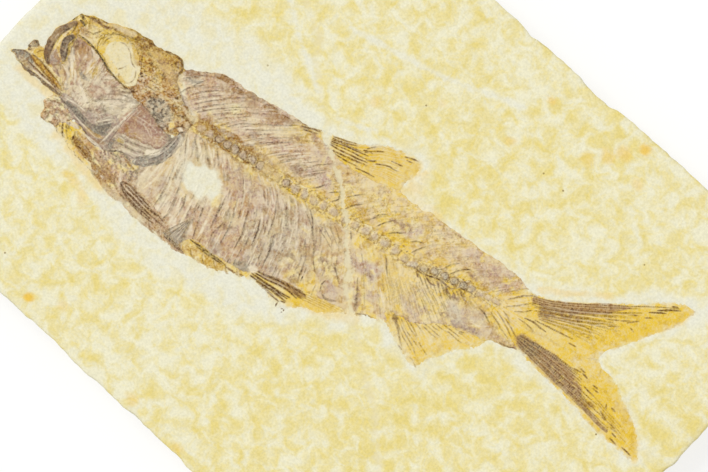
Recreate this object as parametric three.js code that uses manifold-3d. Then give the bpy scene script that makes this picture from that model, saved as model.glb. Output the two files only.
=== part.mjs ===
// A small herring-like fossil fish lying on its side on a slab of laminated limestone.
//
// Units are millimetres. The slab lies flat: +X runs along its long side, +Y across it and +Z up, with the
// origin at the middle of its underside. The fish has a frame of its own on the slab's top face: +X runs from
// the snout to the tail along the backbone, and +Y towards the back. Every bone is its own solid that rests
// on the bedding plane, and neighbouring bones keep a small gap.

import * as THREE from "three";
import { mergeVertices } from "three/addons/utils/BufferGeometryUtils.js";
import Module from "manifold-3d";

const wasm = await Module();
wasm.setup();

// ---- Driving dimensions ------------------------------------------------------------------------------------

const SLAB_LENGTH = 158.4;
const SLAB_WIDTH = 112.1;
const BED_HEIGHT = 9; // underside to the bedding plane that carries the fish
const SURFACE_LAMINA = 0.8; // the top layer, which has flaked back a little along the rim

const CRACK_DEPTH = 0.4; // a healed crack shows as a shallow groove across the slab
const CRACK_WIDTH = 1;

const FISH_TURN = 11; // degrees from the slab's long side to the backbone
const FISH_AT = [-76.6, -9.95]; // where the fish's own frame starts on the slab

const GAP = 0.3; // between neighbouring bones
const SKIN = 0.5; // height of the flattened flanks and fin webs above the bedding plane
const BONE = 0.8; // height of an ordinary flat bone
const THICK_BONE = 1.2; // height of the stout bones: jaws, shoulder and braincase

const VERTEBRA_PITCH = 2.25;
const VERTEBRA_RADIUS = 0.95;
const BACKBONE = [
  [38.2, -0.9], [46, -0.7], [54, -1], [61, -1.4], [70, -1.3], [80, -1.4],
  [88, -1.8], [93, -1.7], [98, -1], [103, -0.4], [107, -0.1], [110.5, 0.1],
];

// ---- Solids ------------------------------------------------------------------------------------------------

function toSolid(geometry) {
  const bare = geometry.clone().deleteAttribute("normal").deleteAttribute("uv");
  const merged = mergeVertices(bare, 1e-4);
  return new wasm.Manifold(
    new wasm.Mesh({
      numProp: 3,
      vertProperties: merged.attributes.position.array,
      triVerts: new Uint32Array(merged.index.array),
    }),
  );
}

function toGeometry(solid) {
  const mesh = solid.getMesh();
  const geometry = new THREE.BufferGeometry();
  geometry.setAttribute("position", new THREE.BufferAttribute(mesh.vertProperties, 3));
  geometry.setIndex(new THREE.BufferAttribute(mesh.triVerts, 1));
  geometry.computeVertexNormals();
  return geometry;
}

const above = (solid, height) => solid.trimByPlane([0, 0, 1], height);

/** A closed outline through hand-set points, rounded by a spline or left with straight sides. */
function outline(points, { straight = false } = {}) {
  const [first, ...rest] = points.map(([x, y]) => new THREE.Vector2(x, y));
  if (straight) return new THREE.Shape([first, ...rest]);
  return new THREE.Shape().moveTo(first.x, first.y).splineThru([...rest, first.clone()]);
}

/** A flat bone with a flat underside at z = 0 and an edge that is rounded over by `edge`. */
function plate(shape, height, edge = 0.3, steps = 1) {
  const geometry = new THREE.ExtrudeGeometry(shape, {
    depth: height,
    curveSegments: steps,
    bevelEnabled: true,
    bevelThickness: edge,
    bevelSize: edge,
    bevelOffset: -edge,
    bevelSegments: 1,
  });
  return above(toSolid(geometry.translate(0, 0, -edge)), 0);
}

/** The room that a bone needs: its outline grown by the gap, and tall enough to cut any neighbour. */
function room(shape, gap = GAP, steps = 1) {
  const geometry = new THREE.ExtrudeGeometry(shape, {
    depth: 6,
    curveSegments: steps,
    bevelEnabled: true,
    bevelThickness: 0.05,
    bevelSize: 0.05,
    bevelOffset: gap,
    bevelSegments: 1,
  });
  return toSolid(geometry.translate(0, 0, -2));
}

/** The strip along a path that is `from` wide at its start and `to` wide at its end. */
function stripOutline(path, from, to) {
  const curve = new THREE.SplineCurve(path.map(([x, y]) => new THREE.Vector2(x, y)));
  const steps = Math.max(1, path.length);
  const left = [];
  const right = [];
  for (let i = 0; i <= steps; i += 1) {
    const t = path.length === 2 ? i / steps : curve.getUtoTmapping(i / steps);
    const at = curve.getPoint(t);
    const along = curve.getTangent(t);
    const half = (from + (to - from) * (i / steps)) / 2;
    left.push([at.x - along.y * half, at.y + along.x * half]);
    right.unshift([at.x + along.y * half, at.y - along.x * half]);
  }
  return outline([...left, ...right], { straight: true });
}

/** A thin raised bone, such as a rib or a fin ray, standing `height` above the bedding plane. */
function ridge(path, from, to, height) {
  const geometry = new THREE.ExtrudeGeometry(stripOutline(path, from, to), {
    depth: height,
    bevelEnabled: false,
  });
  return toSolid(geometry);
}

const join = (solids) => solids.reduce((whole, solid) => whole.add(solid));

/** What is left of a solid once its neighbours' rooms are cut away: its largest body. */
function cutBack(solid, rooms) {
  const left = rooms.reduce((rest, space) => rest.subtract(space), solid);
  return left.decompose().reduce((a, b) => (a.volume() > b.volume() ? a : b));
}

/** The point and the direction a share `t` of the way along a list of points. */
function along(points, t) {
  const curve = new THREE.SplineCurve(points.map(([x, y]) => new THREE.Vector2(x, y)));
  return { at: curve.getPointAt(t), way: curve.getTangentAt(t) };
}

/** Rays that spread from a base line to a tip line, a share of the way out each. */
function fan(base, tips, count, reach = 0.92) {
  return Array.from({ length: count }, (_, i) => {
    const t = i / (count - 1);
    const from = along(base, t).at;
    const to = along(tips, t).at;
    const end = from.clone().lerp(to, reach);
    return [[from.x, from.y], [end.x, end.y]];
  });
}

// ---- Materials ---------------------------------------------------------------------------------------------

const finish = (color, roughness) => new THREE.MeshStandardMaterial({ color, roughness, metalness: 0 });

const LIMESTONE = finish("#e6dfbf", 0.9);
const BROWN_BONE = finish("#9c7a48", 0.7);
const GREY_BONE = finish("#a2988a", 0.65);
const MAUVE_PLATE = finish("#b8977f", 0.7);
const SCALE_FILM = finish("#c4b096", 0.75);
const FIN = finish("#d8b866", 0.75);

// ---- The slab ----------------------------------------------------------------------------------------------

const HALF_LENGTH = SLAB_LENGTH / 2;
const HALF_WIDTH = SLAB_WIDTH / 2;

/** The slab's outline: four sawn sides, a little out of square, with small chips. `back` shrinks it. */
function slabOutline(back) {
  const x = HALF_LENGTH - back;
  const y = HALF_WIDTH - back;
  return outline(
    [
      [-x, -y + 2], [-x + 16, -y + 1.9], [-x + 40, -y + 1.9], [-x + 43, -y + 1.6], [-x + 58, -y + 1.3],
      [-x + 82, -y + 1.4], [-x + 85, -y + 0.9], [-x + 124, -y + 0.5], [x - 1.2, -y], [x, -y + 1.2],
      [x - 0.1, -y + 18], [x - 0.3, -y + 41], [x - 0.5, -y + 44], [x - 0.6, -y + 70], [x - 0.9, y - 14],
      [x - 1.2, y - 0.9], [x - 2.3, y], [x - 35, y - 0.1], [x - 54, y - 0.2], [x - 57, y - 0.6],
      [x - 77, y - 0.9], [x - 84, y - 0.4], [x - 121, y - 0.9], [-x + 4, y - 1.1], [-x + 3, y - 2.1],
      [-x + 2.6, y - 26], [-x + 1.4, y - 52], [-x + 1.5, y - 54], [-x + 0.6, y - 80],
    ],
    { straight: true },
  );
}

/** The crack's two open lengths, either side of the fish, in the slab's frame. */
const CRACKS = [
  [[-75.5, 58.8], [-56, 43], [-38.6, 30.2], [-32.2, 27], [-27.8, 21.9], [-22.8, 17.5], [-16.7, 12.8]],
  [[11.3, -11.6], [14.5, -13.7], [21.8, -18.3], [27.5, -23.2], [35.7, -29.9], [46.5, -43.2], [57.5, -60]],
];

function makeSlab() {
  const body = plate(slabOutline(0), BED_HEIGHT - SURFACE_LAMINA, 0.4);
  const lamina = plate(slabOutline(0.5), BED_HEIGHT, 0.2);
  const slab = body.add(lamina);
  return CRACKS.reduce((rest, path) => {
    const groove = ridge(path, CRACK_WIDTH, CRACK_WIDTH, BED_HEIGHT);
    return rest.subtract(groove.translate(0, 0, BED_HEIGHT - CRACK_DEPTH));
  }, slab);
}

// ---- The fish's bones, in its own frame --------------------------------------------------------------------

const OUTLINES = {
  skull_roof_and_braincase: outline([
    [8.3, 6.6], [12, 7.6], [16, 8.1], [20, 9.1], [25, 9.2], [29.6, 9.3], [31.1, 7.9], [31.3, 5.2],
    [34.5, 2.1], [37.6, 0.6], [38, -1.8], [37.2, -3.4], [34, -4.3], [30.5, -3.4], [27, -2.2],
    [24.4, -1.2], [24.3, 1.6], [23.3, 4.4], [21, 6.3], [17.6, 6.9], [13.5, 6], [10, 5.4],
  ]),
  eye_ring: outline([
    [14.6, 5.4], [17.6, 6.6], [20.8, 6], [23, 4], [24, 1.4], [23.9, -0.8], [21.4, -0.8],
    [18.2, 0.7], [15.4, 2], [14.3, 3.6],
  ]),
  upper_jaw: outline([
    [8.5, 6.4], [8.7, 4.4], [7.4, 2.4], [6.8, 0], [6.9, -2.6], [7.6, -5.2], [6.4, -5.1],
    [5.4, -2.4], [5.1, -0.4], [5.7, 1.8], [7, 4.2], [7.5, 6.2],
  ]),
  lower_jaw: outline([
    [-0.1, -6.6], [1.6, -5.6], [2.8, -4.9], [2.3, -4], [3.4, -2.7], [4, -3.9], [5.2, -4.9],
    [9, -6.9], [12.7, -8.4], [13, -9.3], [9, -9.4], [5, -8.9], [2.8, -8.3],
  ]),
  cheek: outline([
    [9.5, 2.4], [13, 2.2], [17, 0.5], [20.6, -1.1], [26, -2.4], [25.8, -6], [24.4, -9],
    [20.4, -10.2], [15.4, -8.8], [12.6, -7.6], [11, -5], [8.2, -4.9], [8, -1], [8.2, 1.6],
  ]),
  preopercle: outline([
    [26.9, -3.2], [25.8, -6.8], [25.1, -9.4], [22, -10.6], [17.6, -10.2], [14, -9], [13.4, -9.9],
    [17, -11.4], [20.4, -13.4], [24, -13.9], [26, -12], [26.3, -8.6],
  ]),
  opercle: outline([
    [28.2, -2.8], [30.6, -3.8], [33.4, -4.9], [35.6, -5.8], [35.3, -8.2], [31.4, -9.2], [26.9, -9.2],
    [27.1, -5.4],
  ]),
  subopercle: outline([
    [27, -9.8], [31.4, -9.8], [35.2, -8.9], [33.2, -11.3], [29.4, -12.8], [27, -13.4], [26.6, -11.6],
  ]),
  shoulder_girdle: outline([
    [38.2, -3.8], [38.4, -6.6], [37.3, -9.6], [35.4, -12.2], [32.8, -14], [31.9, -13.2],
    [34.4, -10.8], [36.1, -8.2], [36.9, -5.4], [37.2, -3.9],
  ]),
  tongue_bones: outline([
    [11.4, -10.8], [14.4, -10.2], [16.6, -12.2], [15.4, -13.6], [14.6, -15], [12.6, -14.8],
    [11.6, -13],
  ]),
  throat_bones: outline([
    [15.4, -14], [19, -13.9], [23, -14.6], [27, -14.2], [31.6, -14.6], [33, -16.6], [32.2, -19],
    [31, -21.6], [26.4, -20], [20.6, -17.6], [16.4, -16.2],
  ]),
  dorsal_fin: outline([
    [57.4, 10.6], [62, 11.6], [68, 12.9], [72.4, 14.9], [77, 16.3], [81.4, 16.8], [81.7, 14.4],
    [80.8, 11.4], [79.4, 9.4], [74, 8.3], [66, 9.1],
  ]),
  pectoral_fin: outline([
    [32.3, -17.9], [36, -18.1], [40.4, -19.2], [44, -20.7], [47, -22.4], [41.4, -21.9],
    [36.6, -20.8], [33.4, -19.4],
  ]),
  pelvic_fin: outline([
    [63.2, -20.5], [66, -19.3], [70, -18.7], [75.6, -18.1], [80, -17.9], [84, -17.6], [79.6, -19.6],
    [75.4, -20.6], [73.6, -22.6], [69.4, -22.1],
  ]),
  anal_fin: outline([
    [91.4, -12.9], [94, -15.4], [98, -18.4], [101.9, -20.3], [102.6, -17.4], [104.8, -14.2],
    [107.6, -11.4], [110.8, -8.9], [107, -8.3], [101, -10.2], [96, -12.2],
  ]),
  tail_fin_upper_lobe: outline([
    [114.4, 5.5], [119, 6.6], [124, 9.2], [129, 11.7], [134, 14.5], [139, 17.4], [143.7, 18.5],
    [142.4, 15.4], [139, 11.2], [135.6, 7.4], [132.4, 3.6], [131, 0.4], [124, -0.4], [116.6, 0.2],
    [115.6, 2.8],
  ]),
  tail_fin_lower_lobe: outline([
    [117, -0.6], [124, -1], [131, -0.2], [135.8, -1.5], [139.4, -3.4], [143.4, -6], [146.4, -9],
    [148.6, -12.6], [142, -11.9], [136, -10.4], [130, -9], [124, -7.5], [118.4, -6.2], [115.4, -4.6],
  ]),
  tail_base: outline([
    [109, 2.4], [112, 5], [114, 5.2], [115.2, 2.6], [116.2, 0.2], [116.4, -2], [115, -4.6],
    [111.6, -4.6], [109, -2],
  ]),
  belly_scutes: outline([
    [31.4, -21.7], [36, -21.8], [42, -22.4], [50, -23], [57, -22.4], [62.4, -21.2], [62.8, -22.1],
    [57, -23.7], [50, -24.2], [42, -23.7], [35.4, -22.8],
  ]),
  upper_flank: outline([
    [32, 7.6], [36, 9.9], [41, 10.7], [50, 10.8], [60, 10.6], [68, 9.2], [76, 8.4], [84, 7.4],
    [89.4, 8.3], [97, 7.5], [106, 7], [112, 5.8], [110.6, 2], [104, 0.8], [96, -0.2], [88, -0.6],
    [70, 0], [54, 0.4], [38.6, 0.9], [33.8, 4],
  ]),
  rib_cage: outline([
    [38.6, -2.4], [54, -2.2], [70, -2.6], [86, -3], [87.4, -8], [92, -12.6], [91, -15], [86, -16.3],
    [80, -17.5], [72, -18.6], [64, -20.2], [56, -22], [49, -22.8], [41, -22], [33.6, -20.6],
    [34.4, -14.4], [38.4, -9.8], [39, -6],
  ]),
  tail_stem: outline([
    [87, -3.2], [94, -3], [100, -2.2], [106, -1.4], [109, -1], [111.4, -4.8], [114.8, -5.4], [116.6, -6],
    [111, -7.2], [106, -8], [100, -10], [95, -12.2], [92.2, -12.4], [88, -8],
  ]),
};

/** Bones in the order in which they keep their outline: a later bone is cut back to clear the earlier ones. */
const ORDER = [
  "upper_jaw", "lower_jaw", "preopercle", "opercle", "subopercle", "shoulder_girdle",
  "skull_roof_and_braincase", "eye_ring", "cheek", "tongue_bones", "pectoral_fin", "throat_bones",
  "dorsal_fin", "pelvic_fin", "anal_fin", "tail_fin_lower_lobe", "tail_fin_upper_lobe", "tail_base",
  "belly_scutes", "tail_stem", "rib_cage", "upper_flank",
];

const FINISHES = {
  upper_jaw: GREY_BONE, lower_jaw: BROWN_BONE, preopercle: GREY_BONE, opercle: MAUVE_PLATE,
  subopercle: MAUVE_PLATE, shoulder_girdle: GREY_BONE, skull_roof_and_braincase: BROWN_BONE,
  eye_ring: FIN, cheek: MAUVE_PLATE, tongue_bones: BROWN_BONE, pectoral_fin: BROWN_BONE,
  throat_bones: BROWN_BONE, dorsal_fin: FIN, pelvic_fin: FIN, anal_fin: FIN,
  tail_fin_lower_lobe: FIN, tail_fin_upper_lobe: FIN, tail_base: FIN, belly_scutes: BROWN_BONE,
  tail_stem: SCALE_FILM, rib_cage: SCALE_FILM, upper_flank: SCALE_FILM,
};

const HEIGHTS = {
  upper_jaw: THICK_BONE, lower_jaw: THICK_BONE, shoulder_girdle: THICK_BONE,
  skull_roof_and_braincase: THICK_BONE, eye_ring: BONE, cheek: BONE, preopercle: BONE,
  opercle: THICK_BONE, subopercle: BONE, tongue_bones: BONE, throat_bones: BONE, belly_scutes: BONE,
};

const RAY_HEIGHT = SKIN + 0.3;

/** The raised rays, ribs and spines that a flank or fin carries. */
function raised(name) {
  const ray = (path, from = 0.5, to = 0.25) => ridge(path, from, to, RAY_HEIGHT);
  switch (name) {
    case "dorsal_fin":
      return fan(
        [[58.5, 10.9], [66, 9.9], [74, 9]],
        [[81, 16.4], [80.8, 13], [79.4, 10]],
        9,
      ).map((path) => ray(path));
    case "anal_fin":
      return fan(
        [[92.2, -13], [99, -11], [107.4, -8.8]],
        [[101.4, -19.6], [104, -14.6], [110, -9.2]],
        12,
      ).map((path) => ray(path));
    case "pelvic_fin":
      return fan(
        [[64, -19.9], [64, -20.3], [64, -20.6]],
        [[83, -17.9], [79, -19.4], [73, -22.2]],
        5,
      ).map((path) => ray(path));
    case "pectoral_fin":
      return fan(
        [[33.2, -18.2], [33.4, -18.7], [33.6, -19.2]],
        [[46, -21.6], [45, -22], [42, -21.9]],
        4,
      ).map((path) => ray(path));
    case "tail_fin_upper_lobe":
      return fan(
        [[116, 4.8], [117, 3], [117.4, 0.6]],
        [[142.6, 17.8], [137, 10.4], [130, 1]],
        9,
      ).map((path) => ray(path));
    case "tail_fin_lower_lobe":
      return fan(
        [[117.2, -1.6], [116.8, -3.6], [116.6, -4.8]],
        [[131, -1], [142, -6.6], [147, -12]],
        9,
      ).map((path) => ray(path));
    case "tail_base":
      return fan(
        [[110, 0.6], [110, 0], [110, -0.8]],
        [[114, 4.2], [115.8, 0.2], [114.4, -3.8]],
        6,
      ).map((path) => ray(path, 0.4, 0.6));
    case "rib_cage":
      return Array.from({ length: 20 }, (_, i) => {
        const x = 41 + i * 2.2;
        const foot = -20.6 + Math.max(0, x - 50) * 0.1;
        return ray([[x, -3], [x + 2.6, -8], [x + 4.6, -13], [x + 5, foot + 1.6]], 0.55, 0.3);
      });
    case "upper_flank":
      return Array.from({ length: 24 }, (_, i) => {
        const x = 40 + i * 2.6;
        const length = 7.2 - i * 0.12;
        return ray([[x, 1.4], [x + length * 0.5, 1.4 + length * 0.42], [x + length, 1.4 + length * 0.9]]);
      });
    case "tail_stem":
      return Array.from({ length: 8 }, (_, i) => {
        const x = 89.6 + i * 2.2;
        return ray([[x, -3.6], [x + 2, -5.2], [x + 4, -6.8]]);
      });
    default:
      return [];
  }
}

/** The backbone: a chain of spool-shaped vertebrae, half sunk in the rock. */
function makeBackbone() {
  const curve = new THREE.SplineCurve(BACKBONE.map(([x, y]) => new THREE.Vector2(x, y)));
  const count = Math.floor(curve.getLength() / VERTEBRA_PITCH);
  const half = VERTEBRA_PITCH / 2 + 0.02;
  const spools = Array.from({ length: count }, (_, i) => {
    const t = (i + 0.5) / count;
    const at = curve.getPointAt(t);
    const way = curve.getTangentAt(t);
    const radius = VERTEBRA_RADIUS * (1 - 0.35 * t);
    const profile = [
      [0, -half], [radius, -half], [radius, -half * 0.72], [radius * 0.72, 0],
      [radius, half * 0.72], [radius, half], [0, half],
    ].map(([r, h]) => new THREE.Vector2(r, h));
    const spool = new THREE.LatheGeometry(profile, 8)
      .rotateZ(-Math.PI / 2 + Math.atan2(way.y, way.x))
      .translate(at.x, at.y, 0.2);
    return above(toSolid(spool), 0);
  });
  return join(spools);
}

/** The room around the backbone, which the flanks and skull keep clear of. */
const backboneRoom = () =>
  room(stripOutline(BACKBONE, 2 * VERTEBRA_RADIUS + 0.1, 2 * VERTEBRA_RADIUS * 0.7 + 0.1));

function makeBones() {
  const rooms = [backboneRoom()];
  return ORDER.map((name) => {
    const shape = OUTLINES[name];
    const height = HEIGHTS[name] ?? SKIN;
    const inside = room(shape, -0.3);
    const lines = raised(name).map((line) => line.intersect(inside));
    const solid = join([plate(shape, height, Math.min(0.3, height / 3)), ...lines]);
    const bone = cutBack(solid, rooms);
    rooms.push(room(shape));
    return { name, solid: bone };
  });
}

// ---- The scene graph ---------------------------------------------------------------------------------------

function named(name, solid, material) {
  const mesh = new THREE.Mesh(toGeometry(solid), material);
  mesh.name = name;
  return mesh;
}

const fossil = new THREE.Group();
fossil.add(named("limestone_slab", makeSlab(), LIMESTONE));

const fish = new THREE.Group();
fish.position.set(FISH_AT[0], FISH_AT[1], BED_HEIGHT);
fish.rotation.z = THREE.MathUtils.degToRad(FISH_TURN);
fish.add(named("backbone", makeBackbone(), BROWN_BONE));
for (const { name, solid } of makeBones()) fish.add(named(name, solid, FINISHES[name]));
fossil.add(fish);

export default fossil;
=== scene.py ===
"""Looks for a fossil fish on a slab of split limestone.

The fish's bones are fine relief meshes that share one surface. Each is drawn in the fish's own frame, in
millimetres, with +X from snout to tail along the backbone and +Y towards the back. Numbers painted on that
surface say how much gold stain, scale film, bone, dark line and bare rock each place has, and the node
materials turn them into colour.
"""

import math

import bmesh
import bpy
import numpy as np
from bpy.props import FloatProperty, FloatVectorProperty, IntProperty, PointerProperty
from bpy.types import Operator, Panel, PropertyGroup
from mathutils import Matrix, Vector


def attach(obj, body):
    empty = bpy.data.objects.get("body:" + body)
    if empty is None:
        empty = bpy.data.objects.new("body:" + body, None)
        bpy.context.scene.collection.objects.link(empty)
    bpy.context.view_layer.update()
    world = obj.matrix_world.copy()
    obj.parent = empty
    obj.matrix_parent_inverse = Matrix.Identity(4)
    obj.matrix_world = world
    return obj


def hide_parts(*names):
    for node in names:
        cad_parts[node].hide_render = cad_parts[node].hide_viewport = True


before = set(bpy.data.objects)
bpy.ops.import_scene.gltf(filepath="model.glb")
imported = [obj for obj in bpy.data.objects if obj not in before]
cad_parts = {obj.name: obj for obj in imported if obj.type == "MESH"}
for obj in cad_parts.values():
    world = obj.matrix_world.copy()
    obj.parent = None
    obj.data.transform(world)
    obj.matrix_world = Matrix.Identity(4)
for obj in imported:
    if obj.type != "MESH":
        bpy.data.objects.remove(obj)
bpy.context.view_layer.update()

bl_info = {
    "name": "Fossil fish slab",
    "version": (1, 0, 0),
    "blender": (4, 5, 0),
    "location": "View3D > Sidebar > Fossil",
    "description": "Builds a flattened fossil fish on a slab of laminated limestone",
    "category": "Add Mesh",
}

MM = 0.001
BED = 9.0  # height of the bedding plane that carries the fish, in mm
SLAB_LENGTH = 158  # mm
FISH_TURN = math.radians(11)  # from the slab's long side to the backbone
FISH_AT = (-76.6, -9.95)  # where the fish's own frame starts on the slab, in mm


def linear(code):
    """The linear colour of an sRGB hex code."""
    parts = [int(code[i : i + 2], 16) / 255 for i in (1, 3, 5)]
    return tuple(c / 12.92 if c <= 0.04045 else ((c + 0.055) / 1.055) ** 2.4 for c in parts)


# ---- Settings ----------------------------------------------------------------------------------------------


def colour(label, words, code):
    return FloatVectorProperty(name=label, description=words, default=linear(code), subtype="COLOR", size=3)


class SlabSettings(PropertyGroup):
    columns: IntProperty(name="Columns", description="Mesh cells along the slab", default=300, min=30)
    rows: IntProperty(name="Rows", description="Mesh cells across the slab", default=213, min=21)
    layers: IntProperty(name="Layers", description="Rings of mesh down each broken side", default=14, min=4)
    raggedness: FloatProperty(
        name="Raggedness", description="How far the laminae stand in and out", default=0.35 * MM,
        unit="LENGTH",
    )
    cream: colour("Cream", "Fresh rock between the mottles", "#f2edcd")
    straw: colour("Straw", "The rock's most common colour", "#efe4af")
    mottle: colour("Mottle", "Soft yellow mottles", "#ebd882")
    scraped: colour("Scraped", "Rock that was scraped clean around the fish", "#eeecd8")
    vein: colour("Vein", "Crystal that fills the healed crack", "#e9deb8")
    iron: colour("Iron", "Orange iron spots and stain in the rock", "#f2c955")
    speck: colour("Speck", "Sparse dark specks", "#a08a55")
    lamina: colour("Lamina", "Darker laminae on the broken sides", "#c9b98c")


class FishSettings(PropertyGroup):
    step: FloatProperty(
        name="Step", description="Distance between mesh points on the bones", default=0.125 * MM,
        unit="LENGTH",
    )
    gold: colour("Gold", "Iron stain in the fins and between the scales", "#edc73c")
    mauve: colour("Mauve", "Scales and thin bone", "#c29f90")
    rose: colour("Rose", "Gill cover plates", "#b08775")
    tan: colour("Tan", "Warm clouds in the scales", "#d2a25e")
    slate: colour("Slate", "Dense, cool grey bone", "#968c7c")
    umber: colour("Umber", "Thick brown bone", "#a87428")
    amber: colour("Amber", "Bright grains in the bone", "#dfae55")
    sepia: colour("Sepia", "Dark grains in the bone", "#73522f")
    ink: colour("Ink", "Darkest brown mineral, in rays, sutures and edges", "#583812")
    lead: colour("Lead", "Darkest grey mineral", "#463d30")
    chalk: colour("Chalk", "Bare creases between bones", "#f0e2c6")


# ---- Numbers over a surface --------------------------------------------------------------------------------


def ramp(value, low, high):
    """0 below `low`, 1 above `high`, and a smooth rise between them."""
    t = np.clip((value - low) / (high - low), 0, 1)
    return t * t * (3 - 2 * t)


def grain(x, y, size, seed, octaves=1):
    """Smooth random numbers from 0 to 1, in lumps about `size` across."""
    total = np.zeros_like(x)
    weight = 0
    for octave in range(octaves):
        table = np.random.default_rng(seed * 31 + octave).random((256, 256))
        u = x / size * 2**octave + 17.3 * octave
        v = y / size * 2**octave + 5.1 * octave
        i = np.floor(u).astype(int)
        j = np.floor(v).astype(int)
        a = ramp(u - i, 0, 1)
        b = ramp(v - j, 0, 1)
        near = table[i & 255, j & 255] * (1 - a) + table[(i + 1) & 255, j & 255] * a
        far = table[i & 255, (j + 1) & 255] * (1 - a) + table[(i + 1) & 255, (j + 1) & 255] * a
        total += (near * (1 - b) + far * b) / 2**octave
        weight += 1 / 2**octave
    return total / weight


def cells(x, y, size, seed):
    """Irregular cells about `size` across: a random number for each, and how far the nearest border is."""
    u, v = x / size, y / size
    i, j = np.floor(u).astype(int), np.floor(v).astype(int)
    random = np.random.default_rng(seed).random((3, 64, 64))
    first = np.full(x.shape, 9.0)
    second = np.full(x.shape, 9.0)
    value = np.zeros(x.shape)
    for di in (-1, 0, 1):
        for dj in (-1, 0, 1):
            a, b = (i + di) & 63, (j + dj) & 63
            away = np.hypot(i + di + random[0, a, b] - u, j + dj + random[1, a, b] - v)
            closer = away < first
            second = np.where(closer, first, np.minimum(second, away))
            value = np.where(closer, random[2, a, b], value)
            first = np.where(closer, away, first)
    return value, (second - first) * size


def smooth(points, per_span=6, closed=False):
    """A smooth curve through given points."""
    p = np.array(points, float)
    if len(p) == 2:
        t = np.linspace(0, 1, 5)[:, None]
        return p[0] * (1 - t) + p[1] * t
    if closed:
        p = np.vstack([p[-1], p, p[0], p[1]])
    else:
        p = np.vstack([2 * p[0] - p[1], p, 2 * p[-1] - p[-2]])
    t = np.linspace(0, 1, per_span, endpoint=False)[:, None]
    spans = []
    for a, b, c, d in zip(p, p[1:], p[2:], p[3:]):
        spans.append(
            0.5 * (2 * b + (c - a) * t + (2 * a - 5 * b + 4 * c - d) * t**2 + (3 * b - 3 * c + d - a) * t**3),
        )
    curve = np.vstack(spans)
    return curve if closed else np.vstack([curve, p[-2]])


def depth_inside(outline, x, y):
    """How far each place is inside a closed outline, in mm, and below 0 outside it."""
    nearest = np.full(x.shape, 1e9)
    inside = np.zeros(x.shape, bool)
    for (x0, y0), (x1, y1) in zip(outline, np.roll(outline, -1, axis=0)):
        dx, dy = x1 - x0, y1 - y0
        t = np.clip(((x - x0) * dx + (y - y0) * dy) / (dx * dx + dy * dy + 1e-12), 0, 1)
        nearest = np.minimum(nearest, (x - x0 - t * dx) ** 2 + (y - y0 - t * dy) ** 2)
        if y0 != y1:
            inside ^= ((y0 > y) != (y1 > y)) & (x < x0 + (y - y0) * dx / dy)
    return np.sqrt(nearest) * np.where(inside, 1, -1)


def to_slab(x, y):
    """Places in the fish's frame as places on the slab."""
    c, s = math.cos(FISH_TURN), math.sin(FISH_TURN)
    return FISH_AT[0] + c * x - s * y, FISH_AT[1] + s * x + c * y


def to_fish(x, y):
    """Places on the slab as places in the fish's frame."""
    c, s = math.cos(FISH_TURN), math.sin(FISH_TURN)
    x, y = x - FISH_AT[0], y - FISH_AT[1]
    return c * x + s * y, -s * x + c * y


# ---- The slab's surface ------------------------------------------------------------------------------------

# The healed crack, from the slab's far left corner to its near right side, in the slab's frame.
CRACK = [
    (-75.5, 58.8), (-56, 43), (-38.6, 30.2), (-32.2, 27), (-27.8, 21.9), (-22.8, 17.5), (-18.3, 14.3),
    (-15.6, 11.6), (-8.8, 7.9), (-3.3, 3.3), (-0.1, -0.2), (3.7, -4.1), (6.5, -7.6), (10.6, -10.4),
    (14.1, -12.8), (18.2, -15.5), (21.8, -18.4), (26.5, -21.5), (35.7, -30), (46.5, -43.3), (57.5, -60),
]  # fmt: skip

# Pale streaks in the rock beside the crack, each with its width.
STREAKS = (
    ([(-27.8, 32.3), (-18.2, 34.5), (-9.5, 36.7), (-2.3, 39.2), (3.5, 41.7), (8.6, 43.5)], 1.1),
    ([(-41.5, 28.8), (-35.3, 24.5), (-29.8, 21.3), (-24.3, 18.2)], 0.9),
    ([(-17.4, 17.2), (-13.5, 18.6), (-10.6, 20.2)], 0.8),
)

# Orange iron spots in the rock: place, radius and strength.
SPOTS = (
    (-39.8, -51.2, 1.1, 1.0), (32.2, 53.2, 1.3, 0.9), (29.6, 50, 1.8, 0.55), (27.4, 47.4, 1.9, 0.45),
    (10.9, 36.7, 1.3, 0.4), (11.5, 48.3, 0.9, 0.6), (-14.6, 24.4, 1.2, 0.35), (35.6, 47.3, 1.5, 0.4),
    (-33.8, -47.8, 1.4, 0.3), (24.6, 44.4, 1.8, 0.3), (-56, 23, 0.9, 0.25), (52.4, -30.4, 1.1, 0.3),
    (-4.4, 33.2, 1.2, 0.3), (-10.8, -52.4, 1.6, 0.4), (2.6, -53.4, 1.4, 0.35),
)  # fmt: skip

# Where the rock was scraped down around the fish, in the fish's frame.
SCRAPED = [
    (-6, 12), (8, 17), (24, 21), (44, 22), (57, 18), (66, 15), (73, 17.5), (84, 20), (86, 13), (92, 10.5),
    (104, 9.5), (113, 8.5), (124, 12.5), (138, 20.5), (148, 23), (146, 14), (138, 6), (135, 1.5), (144, -3),
    (152, -10), (152, -17), (140, -14.5), (124, -10.5), (113, -9.5), (108, -14), (104, -23), (96, -22),
    (90, -18.5), (84, -22), (72, -28), (56, -31), (36, -29), (27, -24), (17, -22), (6, -19), (-4, -14),
    (-8, 0),
]  # fmt: skip

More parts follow.
